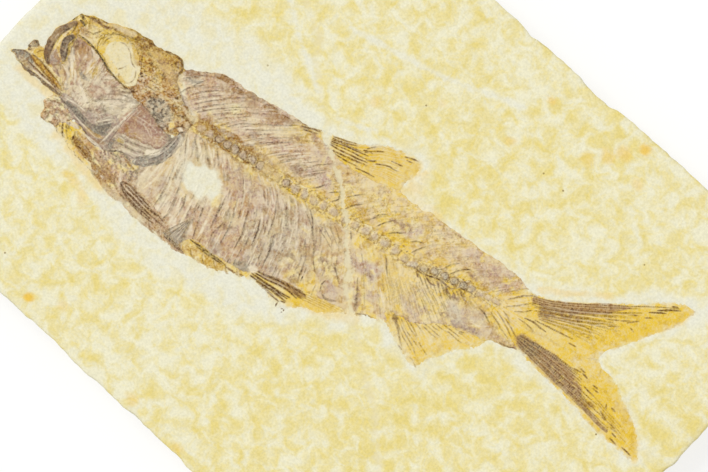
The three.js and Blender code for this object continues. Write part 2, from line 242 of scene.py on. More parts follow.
# Yellow iron stain that has crept from the fins and the throat into the rock, in the fish's frame, each
# with its width.
STAINS = (
    ([(81.6, 15.4), (82.6, 11), (83, 9.4), (87, 8.6), (91, 8.2)], 2.0),
    ([(73, -20.4), (78, -19.8), (83, -18.4), (86, -17.6)], 2.4),
    ([(16, -16.2), (20, -17.6), (25, -19.6), (30, -21.2)], 2.2),
    ([(3, -9), (7, -9.9), (11, -10.2)], 1.6),
    ([(136, 8.2), (141.6, 14.4), (143.8, 18.4)], 1.4),
    ([(115, 6.6), (119, 8.2), (123, 10.4), (128, 13)], 1.1),
    ([(80.6, 9.6), (84, 9), (88, 9)], 1.8),
    ([(83.4, 14.6), (84.2, 11.6), (85.4, 9.4)], 1.6),
    ([(22, -22), (26, -23.4), (28, -26)], 1.6),
    ([(141, -4.8), (146, -8.6), (148.8, -12.6)], 1.4),
)  # fmt: skip


def stain_amount(x, y):
    """How yellow the rock is at places in the fish's frame."""
    amount = np.zeros(x.shape)
    for path, width in STAINS:
        amount = np.maximum(amount, near_path(path, width, x, y))
    return amount * (0.4 + 0.6 * ramp(grain(x, y, 1.8, 50, 3), 0.3, 0.6))


def crack_depth(x, y):
    """1 in the middle of the healed crack and 0 away from it."""
    path = np.array(CRACK)[::-1]
    middle = np.interp(y, path[:, 1], path[:, 0])
    wander = (grain(y, x * 0.1, 2.0, 41, 3) - 0.5) * 0.6
    ragged = (grain(x, y, 0.8, 40, 3) - 0.5) * 2.6 + (grain(x, y, 2.2, 37) - 0.5) * 0.6
    width = 0.5 + 0.6 * ramp(grain(y, y * 0, 3.2, 38, 2), 0.3, 0.7) + 0.5 * np.exp(-(((y + 6.4) / 1.6) ** 2))
    return 1 - ramp(np.abs(x - middle - wander) * 0.72 + ragged, 0, width * 1.3)


def scraped_amount(x, y):
    fx, fy = to_fish(x, y)
    depth = depth_inside(smooth(SCRAPED, 3, closed=True), fx, fy)
    amount = ramp(depth + (grain(x, y, 5, 43, 2) - 0.5) * 4.5, 0, 3.5)
    for path, width in STREAKS:
        amount = np.maximum(amount, 0.9 * near_path(path, width, x, y))
    return amount


def near_path(points, width, x, y):
    """1 on a curve and 0 beyond half its width, with a frayed edge."""
    path = smooth(points, 4)
    nearest = np.full(x.shape, 1e9)
    for (x0, y0), (x1, y1) in zip(path, path[1:]):
        dx, dy = x1 - x0, y1 - y0
        t = np.clip(((x - x0) * dx + (y - y0) * dy) / (dx * dx + dy * dy), 0, 1)
        nearest = np.minimum(nearest, np.hypot(x - x0 - t * dx, y - y0 - t * dy))
    return 1 - ramp(nearest + (grain(x, y, 1.4, 44, 2) - 0.5) * 0.9, width * 0.3, width * 0.8)


def spot_amount(x, y):
    amount = np.zeros(x.shape)
    for cx, cy, radius, strength in SPOTS:
        away = np.hypot(x - cx, (y - cy) * 1.2) + (grain(x, y, 1.3, 42, 2) - 0.5) * 1.2
        amount = np.maximum(amount, strength * (1 - ramp(away, radius * 0.4, radius * 1.3)))
    return amount


def slab_height(x, y):
    """Height of the split face, with low swells and the fine tooth of the rock."""
    swell = (grain(x, y, 19, 3, 2) - 0.5) * 0.16
    tooth = (grain(x, y, 1.7, 5, 2) - 0.5) * 0.05
    return BED - 0.03 + swell + tooth - 0.08 * crack_depth(x, y)


# ---- The fish's surface ------------------------------------------------------------------------------------

TONES = ("gold", "film", "bone", "ink", "chalk", "cool")


class Sheet:
    """The fish's surface: a fine grid of places, each with a relief and an amount of each tone."""

    def __init__(self, step):
        self.step = step
        self.xs = np.arange(-1.6, 150.4, step)
        self.ys = np.arange(-26, 20.4, step)
        self.x, self.y = np.meshgrid(self.xs, self.ys)
        # Outlines are drawn on these places, so that they waver by up to 0.3 mm as crushed bone does.
        self.u = self.x + (grain(self.x, self.y, 1.5, 1, 3) - 0.5) * 0.85
        self.v = self.y + (grain(self.x, self.y, 1.5, 2, 3) - 0.5) * 0.85
        self.rise = np.zeros(self.x.shape)
        self.tones = {name: np.zeros(self.x.shape) for name in TONES}
        self.owner = np.full(self.x.shape, -1)
        self.names = []

    def window(self, low, high, margin=0.6):
        i0, i1 = np.searchsorted(self.xs, [low[0] - margin, high[0] + margin])
        j0, j1 = np.searchsorted(self.ys, [low[1] - margin, high[1] + margin])
        return slice(j0, j1), slice(i0, i1)

    def put(self, win, share, amounts):
        """Lays amounts of tone over a window. A negative amount wears that tone away."""
        for name, amount in amounts.items():
            tone = self.tones[name]
            if amount >= 0:
                tone[win] = np.maximum(tone[win], amount * share)
            else:
                tone[win] *= 1 + amount * share

    def area(self, points, soft=0.3, rise=0.0, mask=None, **amounts):
        """Fills a smooth outline with tones. `mask(x, y)` breaks the fill up."""
        outline = smooth(points, 4, closed=True)
        win = self.window(outline.min(0), outline.max(0))
        x, y = self.u[win], self.v[win]
        share = ramp(depth_inside(outline, x, y), -soft, soft)
        if mask is not None:
            share = share * mask(x, y)
        self.put(win, share, amounts)
        if rise:
            self.rise[win] += rise * share

    def line(self, points, width=0.3, ends=(0.5, 0.3), rise=0.0, gaps=0.0, joints=0.0, seed=1, **amounts):
        """Lays a tapering line: a rib, a ray, a suture or a crease."""
        path = smooth(points, 5)
        win = self.window(path.min(0), path.max(0), width + 0.2)
        # Lines waver a quarter as much as outlines.
        x = 0.75 * self.x[win] + 0.25 * self.u[win]
        y = 0.75 * self.y[win] + 0.25 * self.v[win]
        if not x.size:
            return
        lengths = np.hypot(*np.diff(path, axis=0).T)
        total = lengths.sum()
        share = np.zeros(x.shape)
        along = np.zeros(x.shape)
        crown = np.zeros(x.shape)
        start = 0.0
        for (x0, y0), (x1, y1), length in zip(path, path[1:], lengths):
            dx, dy = x1 - x0, y1 - y0
            t = np.clip(((x - x0) * dx + (y - y0) * dy) / (length**2 + 1e-12), 0, 1)
            away = np.hypot(x - x0 - t * dx, y - y0 - t * dy)
            s = (start + t * length) / total
            taper = (1 - ends[0]) * (1 - np.minimum(s * 4, 1))
            fade = (1 - ends[1]) * np.maximum(s * 4 - 3, 0)
            half = width / 2 * (1 - taper - fade)
            here = np.clip((half - away) / self.step + 0.5, 0, 1)
            better = here > share
            share = np.where(better, here, share)
            along = np.where(better, s * total, along)
            crown = np.maximum(crown, np.sqrt(np.clip(1 - (away / (half + 0.1)) ** 2, 0, 1)))
            start += length
        wear = np.ones(x.shape)
        if gaps:
            wear = 1 - gaps * ramp(grain(along + seed * 7.7, y * 0.3, 0.8, seed + 90, 2), 0.45, 0.75)
        if joints:
            wear = wear * (1 - joints * (0.5 + 0.5 * np.cos(along * 2 * math.pi / 0.42)))
        self.put(win, share * wear, amounts)
        if rise:
            self.rise[win] += rise * crown * wear

    def lines(self, paths, **how):
        for number, path in enumerate(paths):
            self.line(path, seed=number + 1, **how)

    def fan(self, base, tips, count, bend=0.0, reach=(1.0, 1.0), seed=1, **how):
        """Lays lines that spread from a base curve to a tip curve."""
        random = np.random.default_rng(seed)
        base, tips = smooth(base, 12), smooth(tips, 12)
        for i in range(count):
            t = (i + 0.5) / count
            a = base[int(t * (len(base) - 1))]
            b = tips[int(t * (len(tips) - 1))]
            b = a + (b - a) * random.uniform(*reach)
            side = np.array([-(b - a)[1], (b - a)[0]]) * bend
            self.line([a, (a + b) / 2 + side, b], seed=seed + i, **how)

    def claim(self, name, outline, height=0.0, edge=0.5):
        """Gives the places inside an outline to a piece, unless an earlier piece holds them."""
        outline = smooth(outline, 4, closed=True)
        win = self.window(outline.min(0), outline.max(0))
        depth = depth_inside(outline, self.u[win], self.v[win])
        depth += (grain(self.x[win], self.y[win], 0.7, len(self.names) + 7, 2) - 0.5) * 0.5
        mine = (depth > 0) & (self.owner[win] < 0)
        self.owner[win][mine] = len(self.names)
        self.names.append(name)
        if height:
            self.rise[win] += np.where(mine, height * ramp(depth, 0, edge), 0)

    def close_gaps(self):
        """Gives the slivers between neighbouring bones to one of them."""
        for _ in range(5):
            snug = blurred((self.owner >= 0).astype(float), 2) > 0.5
            for axis, shift in ((0, 1), (1, 1), (0, -1), (1, -1)):
                beside = np.roll(self.owner, shift, axis)
                take = (self.owner < 0) & (beside >= 0) & snug
                self.owner[take] = beside[take]


def blurred(values, radius):
    """A soft copy of a grid of numbers, from running means along both axes."""
    for _ in range(2):
        for axis in (0, 1):
            moved = [np.roll(values, k, axis) for k in range(-radius, radius + 1)]
            values = sum(moved) / len(moved)
    return values


# ---- Outlines of the bones, in the order in which they hold their places -----------------------------------

BACKBONE = [
    (38.2, -0.6), (42, -0.5), (46, -0.6), (50, -0.7), (54, -0.8), (58, -1.1), (61, -1.3), (66, -1.4),
    (70, -1.2), (75, -1.2), (80, -1.3), (85, -1.5), (90, -1.9), (93, -1.6), (96, -1), (99, -0.7),
    (102, -0.5), (106, 0), (110.5, 0.3),
]  # fmt: skip

OUTLINES = {
    "upper_jaw": [
        (8, 6.9), (9, 6.6), (10, 5.8), (9.8, 4.6), (9.7, 3), (9.9, 1), (10.3, -1.2), (10.4, -3), (9.7, -4.6),
        (7.8, -5.3), (6.3, -4.7), (5.4, -2.6), (5, -0.3), (5.3, 1.7), (6.3, 3.5), (7.3, 5.2),
    ],
    "lower_jaw": [
        (-0.2, -6.6), (0.8, -5.9), (1.8, -5.3), (2.6, -4.8), (2.1, -4), (2.6, -2.8), (3.6, -2.5), (4.2, -3.4),
        (5.6, -3), (6.3, -4.5), (8, -5.7), (10.5, -6.5), (12.8, -7.9), (13.2, -9.6), (10.5, -9.5), (7, -9.1),
        (4, -8.8), (2, -8), (0.7, -7.1),
    ],
    "opercle": [
        (27.4, -2.3), (29, -2.6), (30.6, -3.4), (33, -4.6), (35.6, -5.3), (36.5, -6.2), (36.1, -7.8),
        (34.5, -8.7), (31, -9.1), (28, -9.5), (26.4, -9.5), (26.7, -6.8), (27.1, -4.4),
    ],
    "shoulder_girdle": [
        (37.1, -3.1), (38.5, -3.4), (38.5, -6.5), (37.8, -9), (36.7, -11), (34.9, -12.7), (33, -13.8),
        (31.8, -13.2), (33.4, -11.3), (35.2, -9.4), (36.3, -7), (36.8, -4.8),
    ],
    "subopercle": [
        (26.3, -9.3), (28, -9.4), (31, -9), (34.5, -8.6), (36.6, -7.6), (36.4, -9), (35, -10.4), (33, -12),
        (31, -12.9), (28.6, -13.3), (26.6, -14), (25.9, -12), (26, -10.4),
    ],
    "preopercle": [
        (12.9, -9.4), (14.4, -8.5), (17, -9.2), (20, -9.3), (22.4, -8.3), (24.8, -7.4), (26.4, -9.2),
        (26.6, -11.6), (26, -14), (23.6, -14.5), (20.5, -13.2), (17, -11.7), (14.4, -10.7),
    ],
    "eye_ring": [
        (14.2, 4.2), (14.8, 5.8), (16.4, 7), (18.5, 7.3), (20.9, 6.6), (22.7, 4.9), (24, 2.7), (24.4, 0.6),
        (23.8, -0.9), (22, -1), (20.4, -0.6), (18, 0.5), (15.8, 1.6), (14.5, 2.4),
    ],
    "skull_roof_and_braincase": [
        (8.6, 6.9), (10, 7.4), (12.5, 7.9), (15, 8.5), (17, 8.9), (19, 9.3), (22, 9.4), (24, 9.2),
        (26, 9.4), (28, 9.3), (29.8, 9.3), (30.8, 8.5), (31.3, 7), (31.2, 5.2), (33, 3.3), (35, 2),
        (37.4, 0.8), (38.5, 0.2), (38.6, -1.6), (37.9, -3.4), (36.4, -4.6), (34, -4.8), (31, -3.6),
        (28.5, -2.6), (26, -2.1), (23.8, -1.4), (20, -0.9), (17, 0.3), (13.5, 2), (9.9, 2.5), (9.6, 4.6),
    ],
    "cheek": [
        (9.4, 2.6), (13.5, 2.3), (17, 0.6), (20.4, -0.9), (24, -1.5), (27.8, -2.2), (27.2, -5), (26.5, -8),
        (25.6, -10), (22, -11), (18, -10.2), (14.5, -9), (12.6, -8.2), (12, -7), (10, -6), (8.6, -5),
        (9.8, -3), (9.8, 0),
    ],
    "tongue_bones": [
        (10.8, -10.7), (12.5, -10.1), (14.5, -10.3), (16.8, -11.5), (17.2, -12.6), (15.8, -13.9),
        (15.1, -15.2), (12.8, -15.4), (11.4, -14.7), (11.2, -13), (10.4, -11.8),
    ],
    "pectoral_fin": [
        (32.1, -17.6), (34.5, -17.4), (38, -18.3), (41, -19.1), (44, -20.2), (46.4, -21.9), (48.2, -22.8),
        (50.2, -24), (46, -23.7), (43, -22.9), (40, -22), (36, -21), (33.2, -19.6),
    ],
    "throat_bones": [
        (14.9, -14), (16.3, -13.1), (20, -12.9), (23, -13.9), (26, -14.2), (28, -13.2), (31, -12.6),
        (33.2, -13.4), (34.4, -15.3), (33.4, -17.4), (33.8, -19.4), (35.9, -20.6), (35.6, -21.9),
        (31.5, -21.7), (28, -20.6), (24, -18.9), (20.5, -17.9), (17.5, -16.9), (15.3, -15.7),
    ],
    "pelvic_fin": [
        (63, -20.6), (64.6, -19.4), (67, -18.9), (70, -18.5), (75, -17.9), (80, -17.3), (83.4, -16.9),
        (84, -17.9), (80.4, -20.1), (76.6, -21.1), (74.8, -21.8), (74, -22.8), (73.8, -24.6), (71.5, -23.8),
        (69.6, -23.2), (69, -22.2), (66, -21.5),
    ],
    "dorsal_fin": [
        (57.2, 10.4), (59.5, 11.2), (62, 11.9), (65, 12.4), (68.5, 13.1), (71.6, 14.9), (74.4, 16),
        (77, 16.5), (79.6, 16.9), (82, 16.7), (82.4, 14.5), (81.4, 11.5), (80, 9), (76, 8.3), (73, 8.1),
        (68.6, 8.2), (64, 9.4), (61, 10),
    ],
    "anal_fin": [
        (90.8, -12.8), (92.3, -15), (94.6, -16.9), (97.6, -18.4), (101.4, -20.3), (103.2, -17.6),
        (105, -14.7), (108, -12), (111, -9.6), (111.6, -8.2), (107.6, -7.8), (104, -8.7), (101, -9.8),
        (97, -11.8), (94, -12.3),
    ],
    "tail_fin_lower_lobe": [
        (117, -2.5), (118, -1.4), (124, -1), (131, 0), (133.4, 0.1), (136.4, -0.7), (139.6, -2.3),
        (143.3, -4.8), (146.4, -7.4), (148.5, -10.1), (149.9, -13.6), (146, -13.5), (142, -12.8),
        (137, -11.5), (131, -9.8), (125, -8.3), (120, -7.1), (117.4, -6), (115.3, -4.6), (115.4, -3.2),
    ],
    "tail_fin_upper_lobe": [
        (114.2, 5.2), (116, 5.9), (119, 6.8), (122, 8.1), (124, 9.4), (129, 12), (134, 15.2), (137.6, 17.8),
        (140.6, 19.1), (144.6, 19.2), (143.8, 16.6), (142, 13.5), (139.6, 10.4), (137.2, 7.4), (134.4, 4.5),
        (132.8, 2.2), (131.4, -0.1), (124, -1), (118, -1.5), (115.8, -1), (115.2, 2),
    ],
    "tail_base": [
        (108.6, 1.6), (111, 3.8), (113, 5.5), (115.2, 5.6), (116.2, 3), (117, 0.6), (117.4, -1.8),
        (117, -3.4), (115.8, -5.3), (112.6, -4.7), (109.4, -2.6),
    ],
    "belly_scutes": [
        (34.6, -20.9), (38, -21.6), (42, -22.4), (45, -23.1), (48, -23.3), (50, -20.9), (53, -20.6),
        (57, -20.9), (60, -20.9), (63.4, -20.8), (64.2, -21.7), (62.5, -22.3), (60, -22.8), (57.5, -23.6),
        (55, -24.1), (50, -24.4), (44, -24.1), (40, -23.5), (35, -22.4),
    ],
    "upper_flank": [
        (31.2, 7), (32.4, 8.3), (34.6, 9.3), (37, 10.4), (39, 11), (44, 11), (50, 11), (56, 10.9),
        (60, 10.8), (63, 10.4), (66, 9.4), (70, 9), (76, 8.7), (80, 9.1), (84, 8.5), (87, 8.3), (89, 8.7),
        (92, 8.2), (100, 7.7), (106, 7.3), (110, 6.6), (112.2, 6), (113.4, 5.2), (112, 3), (110, 0.4),
        (104, -0.3), (98, -0.8), (92, -1.4), (80, -1.2), (62, -1), (44, -0.4), (38, 0), (35, 1.9),
        (32.6, 3.4), (30.8, 5.2),
    ],
    "rib_cage": [
        (38, -1), (46, -1), (62, -1.6), (80, -1.6), (88, -2), (90, -6), (89, -10), (92.4, -12.6),
        (92, -14.9), (88, -16.4), (85, -17.2), (80, -17.9), (75, -18.8), (68, -20), (64, -20.6),
        (60, -21.4), (54, -22.6), (48, -23.6), (42, -23), (36, -21.8), (32.6, -19.6), (32, -16),
        (32.2, -13), (35.6, -11.4), (37, -8), (37.6, -4),
    ],
    "tail_stem": [
        (87.6, -1.8), (94, -1.4), (100, -0.6), (108, -0.2), (111, -1), (113.6, -3.6), (116, -5.2),
        (117.6, -6), (115, -6.8), (112, -7.2), (109, -8.2), (104, -9.7), (100, -11.2), (96, -12.8),
        (92, -13.4), (88, -11), (87, -6),
    ],
}  # fmt: skip

# Fin webs and stain, whose free edges fade into the rock.
SOFT_EDGED = (
    "dorsal_fin", "anal_fin", "pelvic_fin", "tail_fin_upper_lobe", "tail_fin_lower_lobe", "tail_base",
    "belly_scutes", "throat_bones", "rib_cage",
)  # fmt: skip

SLOTS = {
    "limestone_slab": "limestone",
    "backbone": "brown_bone",
    "upper_jaw": "grey_bone",
    "lower_jaw": "brown_bone",
    "preopercle": "grey_bone",
    "opercle": "mauve_plate",
    "subopercle": "mauve_plate",
    "shoulder_girdle": "grey_bone",
    "skull_roof_and_braincase": "brown_bone",
    "eye_ring": "fin_film",
    "cheek": "mauve_plate",
    "tongue_bones": "brown_bone",
    "pectoral_fin": "brown_bone",
    "throat_bones": "brown_bone",
    "dorsal_fin": "fin_film",
    "pelvic_fin": "fin_film",
    "anal_fin": "fin_film",
    "tail_fin_lower_lobe": "fin_film",
    "tail_fin_upper_lobe": "fin_film",
    "tail_base": "fin_film",
    "belly_scutes": "brown_bone",
    "tail_stem": "scale_film",
    "rib_cage": "scale_film",
    "upper_flank": "scale_film",
}


# ---- The flanks --------------------------------------------------------------------------------------------


def lean_above(y):
    """How far back a spine above the backbone has leant by the time it reaches height y."""
    return 0.9 * y + 0.046 * y**2


def lean_below(x, depth):
    """How far back a rib has leant at a depth below the backbone. Ribs further back lean more."""
    front = np.clip((x - 36) / 15, 0.12, 1) * 8 * (1 - np.exp(-np.maximum(depth, 0) / 6))
    back = np.where(x > 90, 1.15, 0.85) * depth
    share = ramp(x, 68, 84)
    return front * (1 - share) + back * share


def spine(x, low, high):
    """The path of a spine above the backbone, which starts at x and runs between two heights."""
    return [(x + lean_above(y), y) for y in np.linspace(low, high, 4)]


def rib(x, top, foot):
    """The path of a rib below the backbone, between two depths."""
    return [(x + float(lean_below(np.array(float(x)), d)), -1.6 - d) for d in np.linspace(top, foot, 5)]


def draw_flanks(sheet):
    x, y = sheet.x, sheet.y
    number = sheet.names.index
    above = sheet.owner == number("upper_flank")
    below = (sheet.owner == number("rib_cage")) | (sheet.owner == number("tail_stem"))
    tones = sheet.tones
    depth = -1.6 - y
    across = np.where(y > -1, x - lean_above(y), x - lean_below(x, depth))
    along = np.where(y > -1, y * 1.4, depth)

    # Scale film in soft patches, whole over the front half and broken by gold stain behind it.
    patches = grain(x, y, 3.4, 11, 3)
    tail_ward = ramp(x, np.where(y > -1, 56, 66), np.where(y > -1, 70, 80))
    film = ramp(patches, 0.12 + 0.3 * tail_ward, 0.32 + 0.2 * tail_ward)
    scale, border = cells(x + 0.8 * grain(x, y, 1.2, 18), y * 1.25, 1.9, 19)
    film *= 0.78 + 0.26 * scale
    film *= 1 - (0.1 + 0.25 * tail_ward) * (1 - ramp(border, 0.02, 0.3))
    near_spine = np.exp(-(((y + 1) / np.where(y > -1, 2.7, 2.3)) ** 2))
    film *= 1 - 0.7 * near_spine * ramp(x, 38, 46)
    # Behind the shoulder the film is thin, and rock shows between the ribs.
    thin = np.exp(-(((x - 41) / 5) ** 2) - (((y + 10) / 7) ** 2))
    film *= 1 - 0.65 * thin
    gold = 0.45 + 0.22 * tail_ward + 0.4 * near_spine - 0.15 * thin + 0.4 * (grain(x, y, 2.2, 13, 2) - 0.5)
    flank = above | below
    tones["film"][flank] = np.maximum(tones["film"],
                                      (0.86 - np.where(above, 0.24, 0.14) * tail_ward) * film)[flank]
    tones["gold"][flank] = np.maximum(tones["gold"], np.clip(gold, 0, 1))[flank]
    tones["bone"][flank] = np.maximum(tones["bone"], 0.4 * ramp(grain(x, y, 1.1, 20, 3), 0.52, 0.7))[flank]
    cool = 0.1 + 0.5 * ramp(grain(x, y, 6, 14, 2), 0.45, 0.75) * (1 - 0.6 * tail_ward)
    tones["cool"][flank] = np.where(above, 0.35 * cool, cool)[flank]

    # Fine streaks that follow the ribs and spines.
    across = across + 0.5 * (grain(x, y, 2.2, 24, 2) - 0.5)
    dark = ramp(grain(across, along * 0.22, 0.42, 15, 2), 0.54, 0.74)
    pale = ramp(grain(across, along * 0.2, 0.46, 16, 2), 0.5, 0.72)
    broken = ramp(grain(x, y, 1.6, 17, 2), 0.35, 0.6) * (0.35 + 0.65 * ramp(grain(x, y, 3.6, 26), 0.3, 0.6))
    fade = 1 - 0.6 * tail_ward
    bare = 0.45 * ramp(grain(x, y, 1.3, 25, 3), 0.5, 0.68)
    tones["ink"][flank] = np.maximum(tones["ink"], 0.45 * dark * broken * fade)[flank]
    tones["chalk"][flank] = np.maximum(tones["chalk"], np.maximum(0.75 * pale * broken * fade, bare))[flank]
    sheet.rise[flank] += (0.05 * dark - 0.04 * pale)[flank]

    random = np.random.default_rng(5)
    # Spines and the thin bones between the muscles, above the backbone.
    for foot in np.arange(35.5, 108, 0.4):
        low = random.uniform(0.3, 5.5)
        high = low + random.uniform(1.2, 4)
        top = 9.6 - 0.02 * max(foot - 45, 0) - 0.5
        kind = random.random()
        path = spine(foot - 0.4, low, min(high, top))
        strength = 1 if foot < 62 else 0.45
        if kind < 0.5:
            sheet.line(path, 0.2, ink=0.62 * strength, rise=0.05, gaps=0.8, seed=int(foot * 10))
        else:
            sheet.line(path, 0.24, chalk=0.7 * strength, ink=-0.5, film=-0.3, gaps=0.9, seed=int(foot * 10))
    # Ribs, with pale grooves between them.
    for foot in np.arange(38.6, 88, 0.25):
        limit = np.interp(foot, [38, 48, 60, 72, 80, 88], [18, 20, 18.3, 15.5, 13, 10])
        top = random.uniform(0.4, limit - 2)
        end = min(limit, top + random.uniform(1.6, 6))
        strength = 1 if foot < 66 else 0.6
        path = rib(foot + random.uniform(-0.2, 0.2), top, end)
        if random.random() < 0.5:
            sheet.line(path, random.uniform(0.16, 0.3), ink=random.uniform(0.3, 0.95) * strength, cool=0.1,
                       rise=0.06, gaps=0.85, seed=int(foot * 10))
        else:
            pale = 0.9 if foot < 50 else 0.7
            sheet.line(path, random.uniform(0.16, 0.34), chalk=pale * strength, ink=-0.7, film=-0.3, gaps=0.8,
                       seed=int(foot * 10))

    draw_nape(sheet)
    draw_front_ribs(sheet)
    draw_rear_flank(sheet)
    draw_stem(sheet)
    draw_hole(sheet)


def draw_nape(sheet):
    """The bare wedge behind the skull, the first spines and the brown ridge scales along the back."""
    sheet.area([(31.2, 7.2), (32.4, 6), (34, 4), (36.4, 2.2), (38.4, 1), (37, 0.6), (34.6, 2), (32.4, 3.6),
                (31, 5.2)], film=-0.9, ink=-0.9, gold=-0.6, chalk=0.25)
    sheet.area([(31.8, 7.4), (33.4, 8.6), (35, 8.8), (34.8, 7.8), (33, 7)], bone=0.55, ink=0.3, gold=-0.7)
    sheet.area([(32.6, 6.4), (34.6, 7.6), (36, 8), (35.4, 6.6), (33.4, 5.7)], film=1, cool=0.9)
    sheet.lines(
        [
            [(31.4, 7.2), (32.6, 8.3), (34.6, 9.2), (37, 10.2)],
            [(32.2, 6.2), (33.6, 7.3), (35.4, 8.8), (38, 9.7)],
            [(34.6, 5.8), (35.6, 7.3), (36.4, 8.3)],
            [(33.2, 3.6), (33.9, 4.9), (34.8, 5.7)],
            [(35, 4.1), (37.3, 6.2), (39.6, 7.7)],
            [(35.9, 3.5), (38.4, 5.7), (40.9, 7.4)],
            [(36.7, 2.8), (39.2, 5.1), (41.9, 7.1)],
            [(37.3, 2.2), (39.9, 4.5), (42.4, 6.3)],
            [(38.1, 1.8), (40.7, 4.1), (43, 5.7)],
            [(41, 6.8), (43, 8.1), (45.4, 9.4)],
            [(44.6, 2.3), (46.8, 4.3), (49.8, 6)],
            [(49.6, 6.1), (52.6, 7.5), (55.2, 9), (57.2, 10.2)],
            [(50.6, 1.6), (53, 3.6), (55, 5)],
            [(53.2, 3.2), (55, 4.8), (57.2, 6.4)],
            [(48, 3.8), (50.6, 5.2), (54.4, 7.4), (58.4, 10)],
        ],
        width=0.3, ink=0.62, gold=-0.3, rise=0.07, gaps=0.35,
    )
    sheet.lines(
        [
            [(35.5, 4), (37.8, 6.1), (40.2, 7.7)],
            [(36.2, 3), (38.8, 5.3), (41.4, 7.3)],
            [(37.6, 1.8), (40.2, 4.1), (42.6, 6)],
            [(47.4, 6), (50.4, 7.4), (53, 8.8)],
            [(52.8, 7), (55.2, 8.6), (57, 9.8)],
            [(54.8, 6.6), (56.4, 8), (58.2, 9.3)],
        ],
        width=0.3, chalk=0.7, ink=-0.6, film=-0.5, gaps=0.7,
    )
    sheet.area([(54, 8), (57, 9.6), (60, 9.8), (61.4, 8.6), (59.6, 7), (56.4, 6.6)], soft=0.9, gold=0.75,
               film=-0.5)
    sheet.area([(45, 5.8), (49, 6.4), (51, 5.6), (48, 4.9)], soft=0.6, gold=0.5, film=-0.4)
    for x, y, size in ((46.2, 9, 1.2), (40.3, 8.7, 1.1), (51.6, 8.2, 1.2), (61, 9.6, 0.8), (41.8, 4.6, 0.8)):
        ring = [(x + size * math.cos(a), y + 0.8 * size * math.sin(a)) for a in np.linspace(0, 5.5, 8)]
        sheet.area(ring, soft=0.5, mask=speckled(0.9, 27, 0.2, 0.5), film=0.9, bone=0.4, ink=0.2, chalk=-0.6)
    for start, end, low in (
        (37.4, 41.4, 9.9), (41.8, 43.9, 9.2), (44.6, 48.2, 9.9), (48.8, 52, 9.6), (52, 55.4, 9.2),
        (55.4, 58.4, 9.9),
    ):
        middle = (start + end) / 2
        sheet.line([(start, low + 0.1), (middle, low + 0.5), (end, low + 0.5)], 1.2, ends=(0.5, 0.6),
                   bone=0.85, ink=0.3, gold=0.3, rise=0.18, gaps=0.55, seed=int(start))
        sheet.line([(start, low + 0.6), (middle, low + 0.95), (end, low + 0.85)], 0.3, ink=0.62, gaps=0.5,
                   seed=int(end))
    sheet.area([(33.4, 3), (35, 3.1), (36.8, 1.8), (38, 0.9), (36.6, 0.6), (34.6, 1.6)], film=0.8, cool=0.4)


def draw_front_ribs(sheet):
    """The ribs behind the shoulder, which are stout, pale-edged and well apart."""
    sheet.lines(
        [
            [(38.4, -2.4), (39.2, -4.4), (40.4, -6.6), (41.2, -8.4)],
            [(37.8, -3), (38.7, -5.2), (39.5, -7.6), (39.8, -9.6)],
            [(40.2, -2.8), (42, -4.8), (43.6, -7)],
            [(42.4, -2.6), (44.2, -4.6), (45.6, -6.2)],
            [(45.2, -2.6), (46.6, -4.2), (47.2, -5.4)],
            [(39.6, -9.6), (40.2, -12.4), (40.4, -16), (40.3, -19)],
            [(41.9, -10), (42.7, -13), (43, -16)],
            [(44.6, -13.4), (45.3, -16), (45.2, -18)],
            [(48.4, -12), (49.1, -15), (49.8, -18.4), (50.3, -20.4)],
            [(50.6, -9.4), (51.6, -12), (51.9, -14.6)],
            [(43.4, -15.4), (43.6, -18), (43, -20.6)],
            [(47.4, -13.4), (47.9, -16), (48.4, -19)],
        ],
        width=0.34, ink=0.62, cool=0.3, rise=0.1, gaps=0.6,
    )
    sheet.lines(
        [
            [(38.8, -2.8), (40.2, -5.6), (41.6, -8.8)],
            [(38.2, -3.6), (39.3, -7), (40.2, -11), (40.8, -15)],
            [(41, -2.8), (43, -5), (44.6, -7.2)],
            [(43.4, -2.7), (45.4, -4.9), (46.4, -6)],
            [(39, -10), (39.4, -14), (39.2, -17.4)],
            [(41.2, -9.6), (41.9, -13), (41.8, -18)],
            [(37.8, -8), (37, -11.6), (36.4, -15)],
            [(38.4, -11), (37.6, -14.6), (36.6, -17)],
            [(44, -14.4), (44.8, -18), (44.4, -21)],
            [(46.2, -13.6), (46.6, -17), (46.6, -19.6)],
            [(50.4, -13), (51, -17), (51, -20)],
            [(35.4, -12.6), (35, -15.4), (35.6, -17.4)],
        ],
        width=0.5, chalk=0.7, ink=-0.8, film=-0.6, cool=-0.5, gaps=0.5,
    )
    sheet.area([(37.6, -9.6), (38.8, -9.8), (39, -12), (38.2, -13.6), (37.6, -12)], soft=0.5, gold=0.7,
               bone=0.25)
    sheet.area([(34.6, -12), (36.6, -12), (37, -15), (36.6, -17.6), (35.4, -17)], soft=0.8, film=-0.5,
               ink=-0.4, chalk=0.3)
    sheet.area([(38.6, -12.4), (40, -12.6), (40.4, -15), (39.2, -16), (38.4, -14.6)], soft=0.6, film=0.7,
               ink=0.2)
    sheet.area([(53.6, -18.4), (56, -18.4), (56.6, -20), (55, -20.8), (53.6, -20)], soft=0.6, film=0.8,
               ink=0.3)
    # The dark fan of bones above the belly.
    sheet.area([(48, -17.4), (49, -20), (48.8, -23.2), (46.6, -23), (44.4, -22.4), (46.2, -20)], soft=0.6,
               film=0.95, cool=0.8, ink=0.3)
    sheet.fan([(47.6, -17.6), (48.4, -17.8)], [(44.6, -22.2), (48.9, -23.2)], 8, width=0.24, ink=0.6,
              cool=0.4, rise=0.06, gaps=0.5)
    sheet.fan([(47.4, -18.4), (48.4, -18.6)], [(45.2, -22.2), (48.6, -22.8)], 5, width=0.18, chalk=0.8,
              ink=-0.5)


